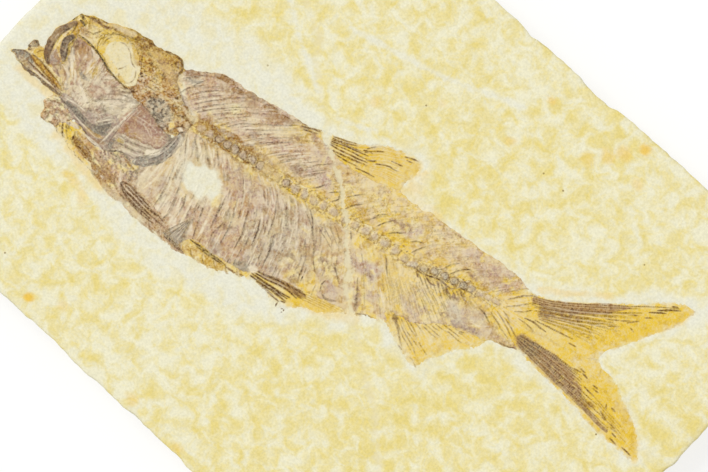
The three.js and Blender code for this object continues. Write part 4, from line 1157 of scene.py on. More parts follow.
def draw_jaws(sheet):
    number = sheet.names.index
    x, y = sheet.x, sheet.y
    for jaw, gold in (("upper_jaw", 0.75), ("lower_jaw", 0.5)):
        mine = sheet.owner == number(jaw)
        sheet.tones["gold"][mine] = gold
        sheet.tones["bone"][mine] = (0.5 * ramp(grain(x, y, 0.5, 106, 2), 0.5, 0.7))[mine]
    sheet.area([(8.2, 5), (9.6, 5), (9.7, 2.2), (8.6, 2)], soft=0.4, gold=1, bone=0.6)
    outer = [(8, 4.5), (7, 3), (6, 1.2), (5.7, -0.6), (6, -2.4), (6.5, -4), (7.4, -5)]
    sheet.line(outer, 1.6, ends=(0.6, 0.5), film=0.8, bone=0.5, cool=0.4, ink=0.6, gold=-0.3, rise=0.2,
               gaps=0.35)
    sheet.line([(7.7, 4.6), (6.4, 2.8), (5.4, 0.6), (5.2, -1.2), (5.6, -3)], 0.3, ink=0.7, cool=0.6, gaps=0.3)
    sheet.line([(8.2, 4.2), (7.2, 2.4), (6.6, 0.2), (6.5, -1.8), (6.9, -3.4)], 0.3, ink=0.8, cool=0.8,
               gaps=0.3)
    sheet.line([(6.9, 2.2), (6.1, 0.4), (6, -1.4), (6.2, -2.8)], 0.26, chalk=0.4, ink=-0.4, gaps=0.6)
    sheet.line([(8, 3.4), (7.4, 1.4), (7.1, -0.6), (7.3, -2.6)], 0.4, chalk=0.6, gold=0.6, ink=-0.8, gaps=0.4)
    inner = [(8.9, 1.8), (8.3, 0.6), (8.5, -0.8), (9.2, -2), (9.8, -3)]
    sheet.line(inner, 1.5, ends=(0.7, 0.5), film=0.9, bone=0.3, cool=0.8, ink=0.62, gold=-0.5, rise=0.2,
               gaps=0.25)
    sheet.lines(
        [
            [(8, 1.6), (7.8, 0.2), (8.2, -1.4), (9, -2.6)],
            [(9.5, 1.4), (9.3, -0.2), (9.8, -1.8), (10.2, -3)],
            [(8.2, 1.8), (9, 1.7), (9.6, 1.5)],
            [(8.4, 4.6), (8.5, 3.4), (8.4, 2.2)],
            [(6.6, -3.4), (7, -4.6), (7.8, -5.2)],
        ],
        width=0.28, ink=0.85, cool=0.7, gaps=0.2,
    )
    sheet.line([(8.7, 0.6), (9, -0.8), (9.5, -2.2)], 0.2, chalk=0.6, ink=-0.4)
    sheet.area([(7.2, -2), (8.4, -2.6), (9.8, -3.8), (9.2, -4.8), (7.8, -4.8), (7.1, -3.4)], soft=0.3,
               film=0.9, cool=0.5, gold=-0.5)
    sheet.line([(7.8, -2.8), (8.8, -3.4), (10, -3.8), (10.6, -4.4)], 0.5, gold=0.9, bone=0.4)
    sheet.lines([[(7.9, 6.5), (8.6, 6.4), (9, 6)], [(8.7, 5.5), (9.3, 5.4), (9.8, 5.1)],
                 [(7.6, 5.9), (7.3, 4.9)]], width=0.6, ends=(0.8, 0.6), ink=0.85, cool=0.3, rise=0.2,
                gaps=0.25)
    # Lower jaw.
    sheet.line([(2.4, -3.7), (3, -3.2), (3.7, -3)], 1.4, ends=(0.7, 0.7), film=0.9, cool=0.7, ink=0.45,
               rise=0.25, gaps=0.3)
    sheet.lines([[(2.2, -4.1), (2.8, -4.2)], [(2.6, -4.8), (3.2, -4.4)], [(3, -2.6), (3.8, -2.9)]], width=0.4,
                ink=0.9)
    sheet.area([(3.6, -4.8), (4.2, -3.6), (5.6, -3.1), (6.1, -4.2), (6.6, -5), (5, -5.4)], soft=0.3, gold=0.9,
               bone=0.3)
    sheet.line([(4.4, -4.5), (5, -3.7), (5.8, -3.3)], 0.3, ink=0.4, bone=0.6)
    sheet.line([(0.1, -6.6), (1.6, -6), (3, -5.9), (4.4, -6.4)], 1.3, ends=(0.3, 0.8), film=0.9, cool=1,
               ink=0.45, gold=-0.5, rise=0.12, gaps=0.2)
    sheet.lines([[(0, -6.6), (0.8, -6.1), (1.6, -5.6)], [(1.2, -6.9), (2.2, -7.7), (3.6, -8.2)],
                 [(1.8, -5.6), (3, -5.5), (4.2, -5.6)]], width=0.3, ink=0.85, cool=0.5, gaps=0.3)
    sheet.line([(4, -5.6), (6, -6.2), (8.4, -6.9), (10.4, -7.6), (12, -8.1)], 1.25, ends=(0.6, 0.4), gold=1,
               bone=0.85, rise=0.15)
    sheet.lines(
        [
            [(3.8, -5.2), (5.6, -5.5), (7.8, -6.2), (10, -7), (12, -7.8)],
            [(5, -6.3), (7, -6.9), (9.4, -7.7), (12.6, -8.6)],
            [(3.2, -6.6), (5.4, -7.2), (8, -7.8), (11, -8.5), (13, -9)],
        ],
        width=0.34, ink=0.82, bone=0.7, gaps=0.3,
    )
    sheet.line([(4.6, -7.3), (7, -7.8), (10, -8.4), (12.6, -8.9)], 0.7, film=0.95, cool=0.3, ink=0.1)
    sheet.line([(5.4, -7.8), (8, -8.2), (10.8, -8.7)], 0.3, ends=(0.4, 0.4), gaps=0.3, chalk=0.9, ink=-0.9,
               film=-0.6, bone=-0.8, gold=-0.8)
    sheet.line([(3, -8.1), (5.6, -8.6), (8.6, -9), (12.6, -9.3)], 0.85, ends=(0.6, 0.5), film=0.9, cool=0.7,
               ink=0.5, bone=0.2, rise=0.1)
    sheet.lines([[(4.4, -8.2), (7.4, -8.5), (10.4, -9), (13, -9.3)], [(3.2, -7.9), (4, -7.7), (4.9, -8)]],
                width=0.24, ink=0.85, cool=0.6, gaps=0.25)
    sheet.area([(2.8, -7.2), (3.6, -6.9), (4.4, -7.3), (4, -8), (3.2, -7.9)], soft=0.2, gold=0.95, ink=-0.5)
    sheet.area([(0.4, -6.5), (2.6, -5.9), (5.6, -6.8), (5, -8.2), (1.4, -7.4)], soft=0.4, film=0.6, cool=0.4,
               ink=0.3, gold=-0.5)


def draw_cheek(sheet):
    x, y = sheet.x, sheet.y
    cheek = sheet.owner == sheet.names.index("cheek")
    tones = sheet.tones
    # Wrinkles fall steeply in front and lie along the jaw joint behind.
    slope = ramp(x, 15, 19)
    across = (x * 0.9 + y * 0.42) * (1 - slope) + (y * 0.86 - x * 0.5) * slope
    along = (y * 0.9 - x * 0.42) * (1 - slope) + (x * 0.86 + y * 0.5) * slope
    warp = (grain(x, y, 2.4, 61, 2) - 0.5) * 1.6
    tones["film"][cheek] = (0.4 + 0.4 * ramp(grain(across + warp, along * 0.35, 1.1, 62, 2), 0.35,
                                             0.7))[cheek]
    tones["chalk"][cheek] = (0.7 * ramp(grain(across + warp, along * 0.25, 0.7, 63, 3), 0.5, 0.66))[cheek]
    tones["ink"][cheek] = (0.5 * ramp(grain(across + warp, along * 0.3, 0.5, 64, 2), 0.56, 0.76))[cheek]
    tones["gold"][cheek] = (0.25 + 0.25 * ramp(x, 18, 12) + 0.3 * (grain(x, y, 2, 67, 2) - 0.5))[cheek]
    tones["cool"][cheek] = (0.3 * ramp(grain(x, y, 3, 65), 0.4, 0.7))[cheek]
    sheet.rise[cheek] += 0.1 * (grain(across + warp, along * 0.25, 0.8, 63, 2) - 0.5)[cheek]
    sheet.area([(14, -0.6), (20, -2.4), (26, -3.4), (25.6, -8), (18, -8.4), (13, -5)], soft=1,
               mask=speckled(1.5, 122, 0.35, 0.6), film=0.55, chalk=-0.3, ink=-0.3)
    for path, width, tone in (
        ([(10.6, 1.8), (12, 0.2), (13.6, -1.8), (14.6, -4)], 1.0, {"film": 0.9, "cool": -0.6, "ink": 0.12}),
        ([(10.2, 0), (11, -1.8), (12, -3.4), (13, -5)], 0.6, {"chalk": 0.95, "film": -0.8, "ink": -0.8}),
        ([(12.2, 1.6), (14, 0.4), (15.4, -0.8), (16.2, -2.2)], 1.0, {"bone": 0.5, "film": 0.6, "gold": 0.4}),
        ([(14.8, 1), (17, 0.2), (19.2, -1), (20.6, -1.6)], 0.9, {"bone": 0.35, "film": 0.7, "gold": 0.3}),
        ([(15.2, -0.4), (16, -1.9), (16.8, -3.2)], 0.6, {"gold": 0.85, "bone": 0.2, "film": -0.5}),
        ([(13.6, -3), (14.8, -3.9), (16.4, -3.9)], 0.9, {"film": 1, "cool": 0.8, "ink": 0.15}),
        ([(12.8, -3.6), (13.6, -4.6), (14, -5.6)], 0.5, {"chalk": 0.9, "film": -0.7}),
        ([(13.6, -5), (14.6, -5.6), (15, -6.6), (14, -6.8)], 0.8, {"gold": 0.4, "film": 0.8, "cool": -0.8}),
        ([(14.4, -4.6), (15.4, -5.6), (17.4, -7.4), (19.4, -8.4)], 0.6, {"chalk": 0.8, "ink": -0.6}),
        ([(25.6, -2.4), (22.8, -3.2), (20.4, -4.6)], 0.3, {"ink": 0.5}),
        ([(26, -3.2), (23, -4.2), (20.4, -6)], 0.3, {"ink": 0.5}),
        ([(24.6, -4.2), (22.4, -5.2), (20, -7.2)], 0.3, {"chalk": 0.8, "ink": -0.5}),
        ([(25.4, -5), (23.6, -6.8), (21.6, -9)], 0.26, {"ink": 0.42}),
        ([(24.8, -6.4), (23.2, -8.4), (22, -9.8)], 0.26, {"chalk": 0.7, "ink": -0.5}),
        ([(16.6, -4.4), (19, -4), (21.4, -3), (24, -2.2)], 0.26, {"ink": 0.35}),
        ([(16, -5), (18.6, -5.4), (20.6, -6.6)], 0.26, {"ink": 0.3}),
        ([(27.4, -3.6), (26.6, -6), (26, -8.6), (25.2, -10.6)], 0.45,
         {"chalk": 0.8, "film": -0.5, "ink": -0.7}),
        ([(26.2, -2.8), (25.6, -5), (25, -7.4)], 0.9, {"chalk": 0.5, "film": -0.5, "ink": -0.6}),
        ([(10.8, -4.6), (12, -5.6), (12.8, -6.6)], 0.5, {"gold": 0.6, "ink": 0.3, "bone": 0.3}),
        ([(12.4, -6.8), (13.4, -7.2), (13, -8)], 0.6, {"film": 1, "cool": 1, "ink": 0.2}),
        ([(8.4, -4.9), (9.8, -5.8), (11, -6.4)], 0.7, {"film": 0.9, "cool": 0.2}),
    ):
        sheet.line(path, width, rise=0.05, gaps=0.35, seed=int(width * 50), **tone)
    sheet.area([(15, -3), (25, -2), (25.4, -7), (19, -9), (15, -7)], soft=0.8,
               mask=speckled(0.4, 66, 0.66, 0.74), ink=0.5)
    sheet.area([(12.8, -5.4), (15.6, -5.4), (18, -7), (20.8, -7.8), (20, -9.4), (16, -8.6), (13.2, -8.2)],
               soft=0.8, mask=speckled(0.8, 70, 0.2, 0.5), film=-0.6, ink=-0.7, cool=-0.5, chalk=0.45)
    sheet.area([(15.6, -3), (18, -2.4), (21, -3), (20.4, -5.4), (17, -5.6), (15.4, -4.4)], soft=0.8,
               mask=speckled(0.8, 78, 0.2, 0.5), film=-0.4, ink=-0.5, chalk=0.35)
    sheet.area([(10.4, 1.8), (12.4, 1.4), (15, 0.4), (16, -0.8), (14, -1), (12, -0.4), (10.6, 0.4)], soft=0.5,
               mask=speckled(0.7, 79, 0.2, 0.5), gold=0.75, bone=0.4, chalk=-0.7, cool=-0.6)
    sheet.area([(17, -4), (19.6, -3.6), (21, -5.2), (19, -6.6), (17, -5.8)], soft=0.6, film=0.8, chalk=-0.6)
    sheet.area([(22.6, -5.6), (25, -5.6), (25.4, -8), (23.4, -8.4)], soft=0.6, film=-0.3, ink=-0.4,
               chalk=0.25)
    sheet.area([(14.8, -0.6), (16.8, -0.8), (17.6, -2.4), (15.6, -2.8)], soft=0.6, film=-0.5, gold=0.7,
               ink=-0.4)
    sheet.area([(18, -4), (25, -3.6), (25.4, -7), (19, -7.6)], soft=1, mask=speckled(0.8, 124, 0.4, 0.6),
               chalk=0.55)


def draw_gill_covers(sheet):
    x, y = sheet.x, sheet.y
    number = sheet.names.index
    tones = sheet.tones
    plate = sheet.owner == number("opercle")
    tones["film"][plate] = 0.95
    tones["gold"][plate] = 0.3
    tones["ink"][plate] = (0.14 + 0.2 * (grain(x, y, 2.4, 71, 3) - 0.4))[plate]
    tones["cool"][plate] = (0.85 * ramp(x * 0.7 + y * 0.7 + grain(x, y, 2, 72) * 2, 20.4, 23.6))[plate]
    sheet.area([(28, -8.6), (30, -6.8), (34.6, -7), (35, -8), (31, -9)], soft=0.8, film=-0.16, ink=-0.6,
               gold=0.4, chalk=0.12)
    sheet.area([(26.8, -3.4), (28.2, -3.4), (28.4, -5.4), (27, -5.6)], soft=0.4, ink=0.3)
    sheet.lines(
        [
            [(27.8, -5.9), (29.8, -5.8), (31.2, -6.4), (32.6, -7.2), (34.2, -7.9)],
            [(30.7, -6.7), (31.6, -6), (32.2, -6.4), (32.8, -7.2)],
            [(27.4, -5.2), (31, -5.2), (35.4, -6.2)],
            [(27.6, -4), (27.2, -5.8), (26.7, -7.6), (26.3, -9)],
            [(28.3, -3.6), (28, -5)],
            [(29.6, -8.5), (31.8, -8.6), (33.6, -8.3), (35.2, -7.9)],
            [(33.4, -7), (34.6, -6.6), (35.8, -6.6)],
        ],
        width=0.22, ends=(0.5, 0.4), chalk=0.5, ink=-0.7, gaps=0.6,
    )
    sheet.line([(27.5, -2.6), (30.4, -3.2), (33, -4.5), (35.4, -5.2)], 0.3, ink=0.5, cool=0.5, gaps=0.4)
    sheet.line([(35.4, -5.4), (36.3, -6.4), (35.9, -7.8)], 0.3, ink=0.4, gaps=0.3)
    sheet.area([(27.6, -8.4), (29, -8), (30.8, -8.5), (30.2, -9.2), (28.2, -9.3)], soft=0.3,
               mask=speckled(0.5, 73, 0.3, 0.55), bone=0.7, gold=0.7, ink=0.15, film=-0.5)
    sheet.area([(27.2, -7.8), (27.9, -7.6), (28, -8.6), (27.3, -8.8)], soft=0.2, gold=0.7, bone=0.6)

    lower = sheet.owner == number("subopercle")
    tones["film"][lower] = (0.66 + 0.3 * ramp(grain(x * 0.5, y, 1.1, 74, 2), 0.35, 0.7))[lower]
    tones["cool"][lower] = 0.5
    tones["gold"][lower] = 0.2
    tones["chalk"][lower] = (0.4 * ramp(grain(x * 0.4, y + x * 0.2, 0.8, 75, 2), 0.5, 0.75))[lower]
    sheet.lines([[(27, -10.2), (30, -10.2), (33, -9.6), (36, -8.8)],
                 [(27.4, -11.6), (31, -11.4), (34, -10.4)],
                 [(26.4, -14), (28.4, -13.1), (30.4, -12.7), (32, -12.6)]], width=0.3, ink=0.5, cool=0.6,
                gaps=0.3)
    sheet.lines([[(28, -10.9), (31, -10.7), (34.6, -9.8)], [(28.4, -12.3), (31.6, -11.9), (34.4, -10.9)],
                 [(27.2, -9.7), (31, -9.6), (35, -8.8)]], width=0.36, chalk=0.45, ink=-0.6, film=-0.2,
                gaps=0.6)
    sheet.area([(27.2, -10.6), (28.4, -10.5), (28.8, -11.2), (27.6, -11.4)], soft=0.25, gold=0.8, ink=0.28,
               film=-0.5)
    sheet.area([(25.8, -12.6), (26.4, -11), (27.2, -11.4), (27, -13), (26.2, -13.6)], soft=0.3, film=1,
               cool=0.9, ink=0.32)

    hook = sheet.owner == number("preopercle")
    tones["film"][hook] = 0.88
    tones["cool"][hook] = 0.55
    tones["gold"][hook] = 0.2
    tones["ink"][hook] = (0.22 * ramp(grain(x, y * 2, 1.2, 76, 2), 0.35, 0.7))[hook]
    sheet.line([(14.8, -9.9), (17.4, -10.6), (20.4, -11.5), (23.4, -11.8), (25, -11.2)], 1.3, ink=0.42,
               cool=1, gaps=0.2)
    sheet.area([(21.4, -11.4), (22.4, -9.8), (24.4, -8.6), (25, -9.6), (24, -11.6)], soft=0.4, film=1, cool=1,
               ink=0.45)
    sheet.lines([[(14, -9.3), (16.4, -9.3), (19, -9.6)], [(21.6, -10.4), (23, -9.2), (24.6, -8)],
                 [(17.4, -11.4), (20, -12.2), (23, -12.9)], [(25.6, -9), (25.2, -11), (24.6, -13.6)],
                 [(22.4, -10.6), (23.6, -9.6), (24.6, -8.6)]], width=0.3, chalk=0.7, ink=-0.6, film=-0.4,
                gaps=0.5)
    sheet.line([(20, -12.2), (22.4, -12.6), (24.6, -12.4)], 0.8, gold=0.75, bone=0.4, ink=-0.4, film=-0.4)
    sheet.lines([[(13, -9.8), (14.4, -10.2), (16, -10.6)],
                 [(18, -11.9), (20.4, -13), (23, -13.9), (25.6, -14.2)],
                 [(15.6, -10.2), (18.6, -11), (21.4, -11.8)]], width=0.3, ink=0.7, cool=0.6, gaps=0.25)
    sheet.area([(20, -13), (23, -13.1), (25.4, -12.8), (25, -13.8), (22.6, -14)], soft=0.3, bone=0.4,
               film=0.6, gold=0.4)

    bar = sheet.owner == number("shoulder_girdle")
    tones["film"][bar] = 0.9
    tones["cool"][bar] = 0.9
    tones["ink"][bar] = (0.1 + 0.3 * (grain(x, y, 1, 77, 2) - 0.5))[bar]
    sheet.lines([[(38.1, -4.6), (37.7, -7.4), (36.8, -10), (35.2, -12), (33.2, -13.5)],
                 [(36.9, -5), (36.3, -7.6), (34.9, -9.9), (32.8, -12.2)],
                 [(37.5, -4.2), (37.1, -7), (36, -9.6), (34.2, -11.7)]], width=0.28, ink=0.62, cool=0.6,
                gaps=0.5)
    sheet.lines([[(37.2, -5), (36.8, -7.6), (35.6, -9.8), (33.8, -12)], [(36.4, -6), (35.4, -8.6)]],
                width=0.24, chalk=0.6, ink=-0.5, gaps=0.4)
    sheet.area([(38.4, -1), (38.9, -4.4), (38.8, -8), (38.2, -8), (37.8, -4.6), (37.2, -1.6)], soft=0.4,
               chalk=0.5, film=-0.6, ink=-0.5, cool=-0.5, gold=0.3)
    sheet.line([(37.2, -3.2), (37.8, -3.4), (38.2, -4)], 0.6, bone=0.7, ink=0.4, film=-0.5)
    sheet.area([(33.4, -9.8), (35.6, -8.4), (36.2, -7), (35.6, -9.4), (34, -10.8)], soft=0.25, chalk=0.95,
               ink=-0.9, film=-0.7)


def draw_throat(sheet):
    x, y = sheet.x, sheet.y
    number = sheet.names.index
    tones = sheet.tones
    loose = sheet.owner == number("tongue_bones")
    lumps = grain(x, y, 1.1, 81, 2)
    tones["film"][loose] = (0.75 * ramp(lumps, 0.38, 0.52))[loose]
    tones["bone"][loose] = (0.4 * ramp(lumps, 0.5, 0.62))[loose]
    tones["ink"][loose] = (0.5 * ramp(grain(x, y, 0.42, 82, 2), 0.54, 0.74))[loose]
    tones["chalk"][loose] = (0.5 * ramp(grain(x, y, 0.5, 88, 2), 0.58, 0.76))[loose]
    tones["gold"][loose] = 0.35
    sheet.rise[loose] += (0.35 * (lumps - 0.4))[loose]
    sheet.lines([[(11.2, -11.6), (12.4, -11), (13.8, -10.9)], [(11.8, -12.4), (13.4, -12.4), (14.8, -12)],
                 [(11.9, -13.6), (12.8, -14), (12.6, -15)], [(13.6, -13), (14.8, -13.6), (14.9, -14.8)],
                 [(15.2, -12.2), (16.2, -12), (16.8, -12.4)], [(13.4, -15), (14.6, -15)]],
                width=0.35, ink=0.55, bone=0.4, gaps=0.5, rise=0.12)

    throat = sheet.owner == number("throat_bones")
    ahead = 1 - ramp(x, 20, 24)
    tones["gold"][throat] = (0.5 + 0.35 * ahead + 0.5 * (grain(x, y, 2, 83) - 0.5))[throat]
    tones["film"][throat] = (0.85 * ramp(grain(x, y, 2.2, 84, 2), 0.3, 0.5) * ramp(x, 19, 23))[throat]
    tones["ink"][throat] = (0.5 * ramp(grain(x + y, (x - y) * 0.4, 0.42, 85, 2), 0.52, 0.74))[throat]
    tones["chalk"][throat] = (0.45 * ramp(grain(x, y, 0.5, 86, 2), 0.58, 0.78))[throat]
    tones["cool"][throat] = (0.5 * ramp(grain(x, y, 3, 87), 0.4, 0.7))[throat]
    for path, width, tone in (
        ([(15.2, -14.3), (15.5, -15.4), (16.2, -16.2)], 0.28, {"ink": 0.75}),
        ([(16, -13.8), (16.6, -14.8), (17.4, -16.2)], 0.42, {"ink": 0.85}),
        ([(16.8, -13.8), (17.4, -14.6), (17.8, -15.4)], 0.36, {"ink": 0.8}),
        ([(15.8, -14.6), (16.4, -15.6), (17.2, -16.6)], 0.4, {"gold": 1, "film": -0.9}),
        ([(17.4, -14.4), (18, -15.6), (19, -16.6)], 1.1, {"gold": 1, "film": -0.9, "chalk": -0.8}),
        ([(19.6, -15.3), (21, -15.8), (23, -16.6), (25, -17.5)], 1.7,
         {"bone": 0.95, "ink": 0.42, "film": -0.6}),
        ([(19.3, -14.7), (19.6, -15.9), (20.2, -16.6)], 0.4, {"ink": 0.85}),
        ([(20, -15.9), (22, -16.6), (24.6, -17.4)], 0.3, {"ink": 0.8}),
        ([(21, -15.3), (23, -16), (25, -16.8)], 0.24, {"chalk": 0.4, "ink": -0.3}),
        ([(19.6, -13.9), (22, -14.5), (24.6, -15.3), (26, -16)], 0.8,
         {"gold": 0.85, "bone": 0.5, "ink": -0.5}),
        ([(20.6, -13.5), (23.4, -14), (26, -14.6)], 0.5, {"chalk": 0.9, "ink": -0.7, "film": -0.6}),
        ([(19.6, -17), (22.6, -18), (25.4, -18.6)], 0.7, {"gold": 0.95, "film": -0.7}),
        ([(25.4, -16.2), (27.4, -16.6), (29.4, -17.6)], 1.6, {"film": 0.9, "bone": 0.3}),
        ([(25.6, -17.8), (27.4, -18.8), (29.6, -20)], 1.7, {"bone": 0.8, "ink": 0.25, "film": 0.4}),
        ([(29, -20), (31.4, -20.8), (34.6, -21.2)], 1.2, {"bone": 0.6, "ink": 0.3, "film": 0.7}),
        ([(26, -18.6), (28, -19.8), (30.4, -21)], 0.5, {"bone": 0.7, "gold": 0.7}),
        ([(27.6, -17.4), (29.4, -18.2), (31, -19)], 1.8,
         {"film": 0.8, "bone": 0.4, "ink": 0.3, "chalk": -0.6}),
        ([(28, -19), (28.8, -19.4)], 0.4, {"chalk": 0.8, "ink": -0.8}),
        ([(16.8, -13.4), (18, -13.2), (19.4, -13.2)], 0.9, {"gold": -0.8, "film": 0.4, "chalk": 0.3}),
        ([(26, -14.3), (27.4, -13.6), (29, -13.1), (30.6, -13.2), (32, -13.8)], 0.4,
         {"ink": 0.65, "cool": 0.7}),
        ([(27.4, -14.2), (29.2, -14), (30.4, -15)], 0.36, {"ink": 0.55, "cool": 0.7}),
        ([(28, -14.8), (30, -14.6), (32.4, -15)], 0.8, {"film": 0.9, "cool": 0.4, "chalk": -0.6}),
        ([(30.4, -13.6), (32, -14.2), (33.4, -14.6)], 0.5, {"bone": 0.7, "ink": 0.3}),
        ([(33.4, -14.6), (33.2, -16), (33.4, -17.4)], 0.4, {"ink": 0.55, "chalk": -0.5}),
        ([(31, -16.2), (31.8, -17.6), (32.8, -18.6)], 0.5, {"chalk": 0.8, "ink": -0.5}),
        ([(30.2, -17), (31, -18.6), (32.6, -20)], 0.4, {"ink": 0.5, "bone": 0.5}),
        ([(33.2, -20.2), (34.4, -20.6), (35.4, -21.4)], 0.45, {"ink": 0.75, "bone": 0.4}),
    ):
        sheet.line(path, width, rise=0.1, gaps=0.2, seed=int(width * 70), **tone)


# ---- The fins ----------------------------------------------------------------------------------------------


def web(sheet, name, gold, patchy=0.25):
    """The stained web of a fin, soft at its free edge."""
    mine = sheet.owner == sheet.names.index(name)
    x, y = sheet.x, sheet.y
    stain = gold + patchy * (grain(x, y, 3, 91, 2) - 0.5) * 2 + 0.6 * (grain(x, y, 0.9, 92, 3) - 0.5)
    sheet.tones["gold"][mine] = np.clip(stain, 0, 1)[mine]
    sheet.tones["bone"][mine] = (0.18 * ramp(grain(x, y, 1.0, 90, 3), 0.52, 0.72))[mine]


def draw_dorsal_fin(sheet):
    web(sheet, "dorsal_fin", 0.88, patchy=0.3)
    sheet.area([(75, 13.6), (80, 14.6), (82.4, 14), (81.4, 11), (79, 11), (77, 12)], soft=1, gold=-0.25)
    sheet.fan([(64, 11.2), (70, 10.4), (74, 9)], [(76.5, 16.2), (81.6, 16.4), (81.4, 12), (80, 9.4)], 16,
              bend=0.05, reach=(0.8, 1), width=0.2, gold=0.85, bone=0.24, gaps=0.5, seed=3)
    sheet.fan([(66, 11.6), (72, 10.2), (74, 9.2)], [(76, 16), (81.4, 16), (81.2, 12), (80, 9.6)], 13,
              bend=0.05, reach=(0.8, 1), width=0.22, chalk=0.4, gaps=0.4, seed=4)
    sheet.area([(63.4, 12), (61.6, 12.2), (63, 9.4), (64.4, 9)], soft=0.4, gold=-0.9)
    sheet.lines(
        [
            [(57.4, 10.2), (59.4, 10.7), (61.2, 11.1)],
            [(64.1, 11.3), (66.6, 11.8), (69, 12.6)],
            [(64.1, 10.7), (67.8, 11.4), (71.8, 11.8)],
            [(64.1, 10), (68, 10.1), (72.3, 10.6)],
            [(65, 9.2), (69, 9.6), (72.6, 10.1)],
        ],
        width=0.34, ends=(0.8, 0.4), ink=0.8, bone=0.7, rise=0.16, gaps=0.4,
    )
    sheet.lines(
        [
            [(58, 9.8), (60, 10.2), (61, 10.6)],
            [(64, 11.7), (66.4, 12.2), (68.8, 12.9)],
            [(64, 11), (67.6, 11.6), (71, 12.1)],
            [(64, 10.35), (68, 10.8), (72, 11.1)],
            [(66, 8.9), (68.6, 8.8), (71, 9)],
            [(71, 8.6), (73, 8.8), (75, 8.9)],
            [(71, 13), (71.7, 13.8), (72.5, 14.5)],
            [(71, 12.2), (72.4, 13.3), (74.2, 14.2)],
            [(72, 11), (72.9, 11.3), (73.8, 11.9)],
            [(74, 11.3), (76, 12.1), (78.5, 12.3)],
            [(78.3, 15.5), (79.6, 15.9), (81, 16.1)],
            [(79, 15.1), (80.2, 15.2)],
            [(76.5, 13.4), (77.6, 13.6), (78.8, 13.7)],
            [(59.4, 10.8), (61.3, 11.4)],
            [(70.6, 12.4), (71.6, 12.8), (72.4, 12.7)],
        ],
        width=0.27, ends=(0.7, 0.4), ink=0.75, bone=0.6, rise=0.12, gaps=0.45,
    )
    sheet.lines([[(64.4, 10.9), (68, 11.6), (71, 12)], [(64.4, 10.2), (68, 10.5), (72, 10.9)],
                 [(65, 9.7), (68.4, 9.9), (72, 10.3)], [(64.6, 11.5), (67, 12), (69, 12.8)]], width=0.16,
                chalk=0.5, ink=-0.5)
    sheet.area([(74.6, 9), (79, 9.4), (79, 11), (75, 11)], soft=0.6, gold=0.85, ink=-0.3)


def draw_anal_fin(sheet):
    web(sheet, "anal_fin", 0.78)
    sheet.area([(96.6, -14), (100, -13), (102, -14), (102, -18), (99, -17)], soft=1, gold=0.8)
    sheet.area([(104, -9.4), (110.6, -8.2), (109, -11), (105.4, -14), (103, -15), (103.4, -12)], soft=1.2,
               gold=-0.1)
    base = [(91.6, -12.6), (94, -12.4), (97, -11.9), (100, -10.9), (103, -9.7), (107.2, -8.1)]
    tips = [(98, -18.2), (101.9, -19.6), (102.4, -17), (103.4, -14.6), (105, -12.6), (108.6, -10.2),
            (110.8, -8.6)]
    sheet.fan(base, tips, 20, bend=0.02, reach=(0.7, 1), width=0.22, chalk=0.35, gold=0.6, gaps=0.3, seed=12)
    rays = (
        ((91.6, -12.3), (94, -14), (97.5, -17.6)), ((92.4, -12.9), (94.8, -15), (96.6, -16.8)),
        ((92.8, -12.6), (95.6, -15), (99.2, -17)), ((93.6, -12.6), (96.2, -14.6), (99.6, -16.4)),
        ((94.4, -12.7), (97, -14.4), (101, -16)), ((94.8, -12.1), (97, -13.4), (99, -14.3)),
        ((95.7, -12.2), (97.4, -13), (98.8, -13.9)), ((97, -11.8), (98.4, -12.3), (99.6, -12.8)),
        ((99, -11.6), (100.6, -12), (102, -12.3)), ((98.6, -11), (100.4, -11.3), (102.8, -11.7)),
        ((99.9, -10.6), (101.2, -10.8), (102, -10.7)), ((100.8, -10), (102.6, -10.2), (104.2, -10.1)),
        ((103.6, -10), (105.2, -10.3), (107, -10.5)), ((102, -9.3), (104, -9.5), (106, -9.7)),
        ((104, -8.7), (105.6, -8.8), (107, -8.3)), ((105.6, -9.1), (106.6, -8.9)),
        ((99.8, -18.3), (100.8, -18.7), (101.8, -19.5)), ((96.6, -17.4), (97.6, -17.9)),
        ((97, -15.2), (98.6, -15.9), (100.6, -17.4)), ((99.8, -14.8), (101.2, -15.6), (102.2, -16.2)),
    )  # fmt: skip
    sheet.lines(rays, width=0.2, ends=(0.9, 0.5), ink=0.55, bone=0.3, rise=0.1, gaps=0.6)
    sheet.area([(92.4, -12.4), (93.6, -12.6), (94, -13.8), (92.8, -13.4)], soft=0.2, ink=0.6, bone=0.5)
    sheet.area([(94, -16.2), (97.4, -18.2), (101.4, -20.2), (101.6, -18.8), (97.6, -16.8), (94.6, -15)],
               soft=0.6, gold=-0.3, ink=-0.3)


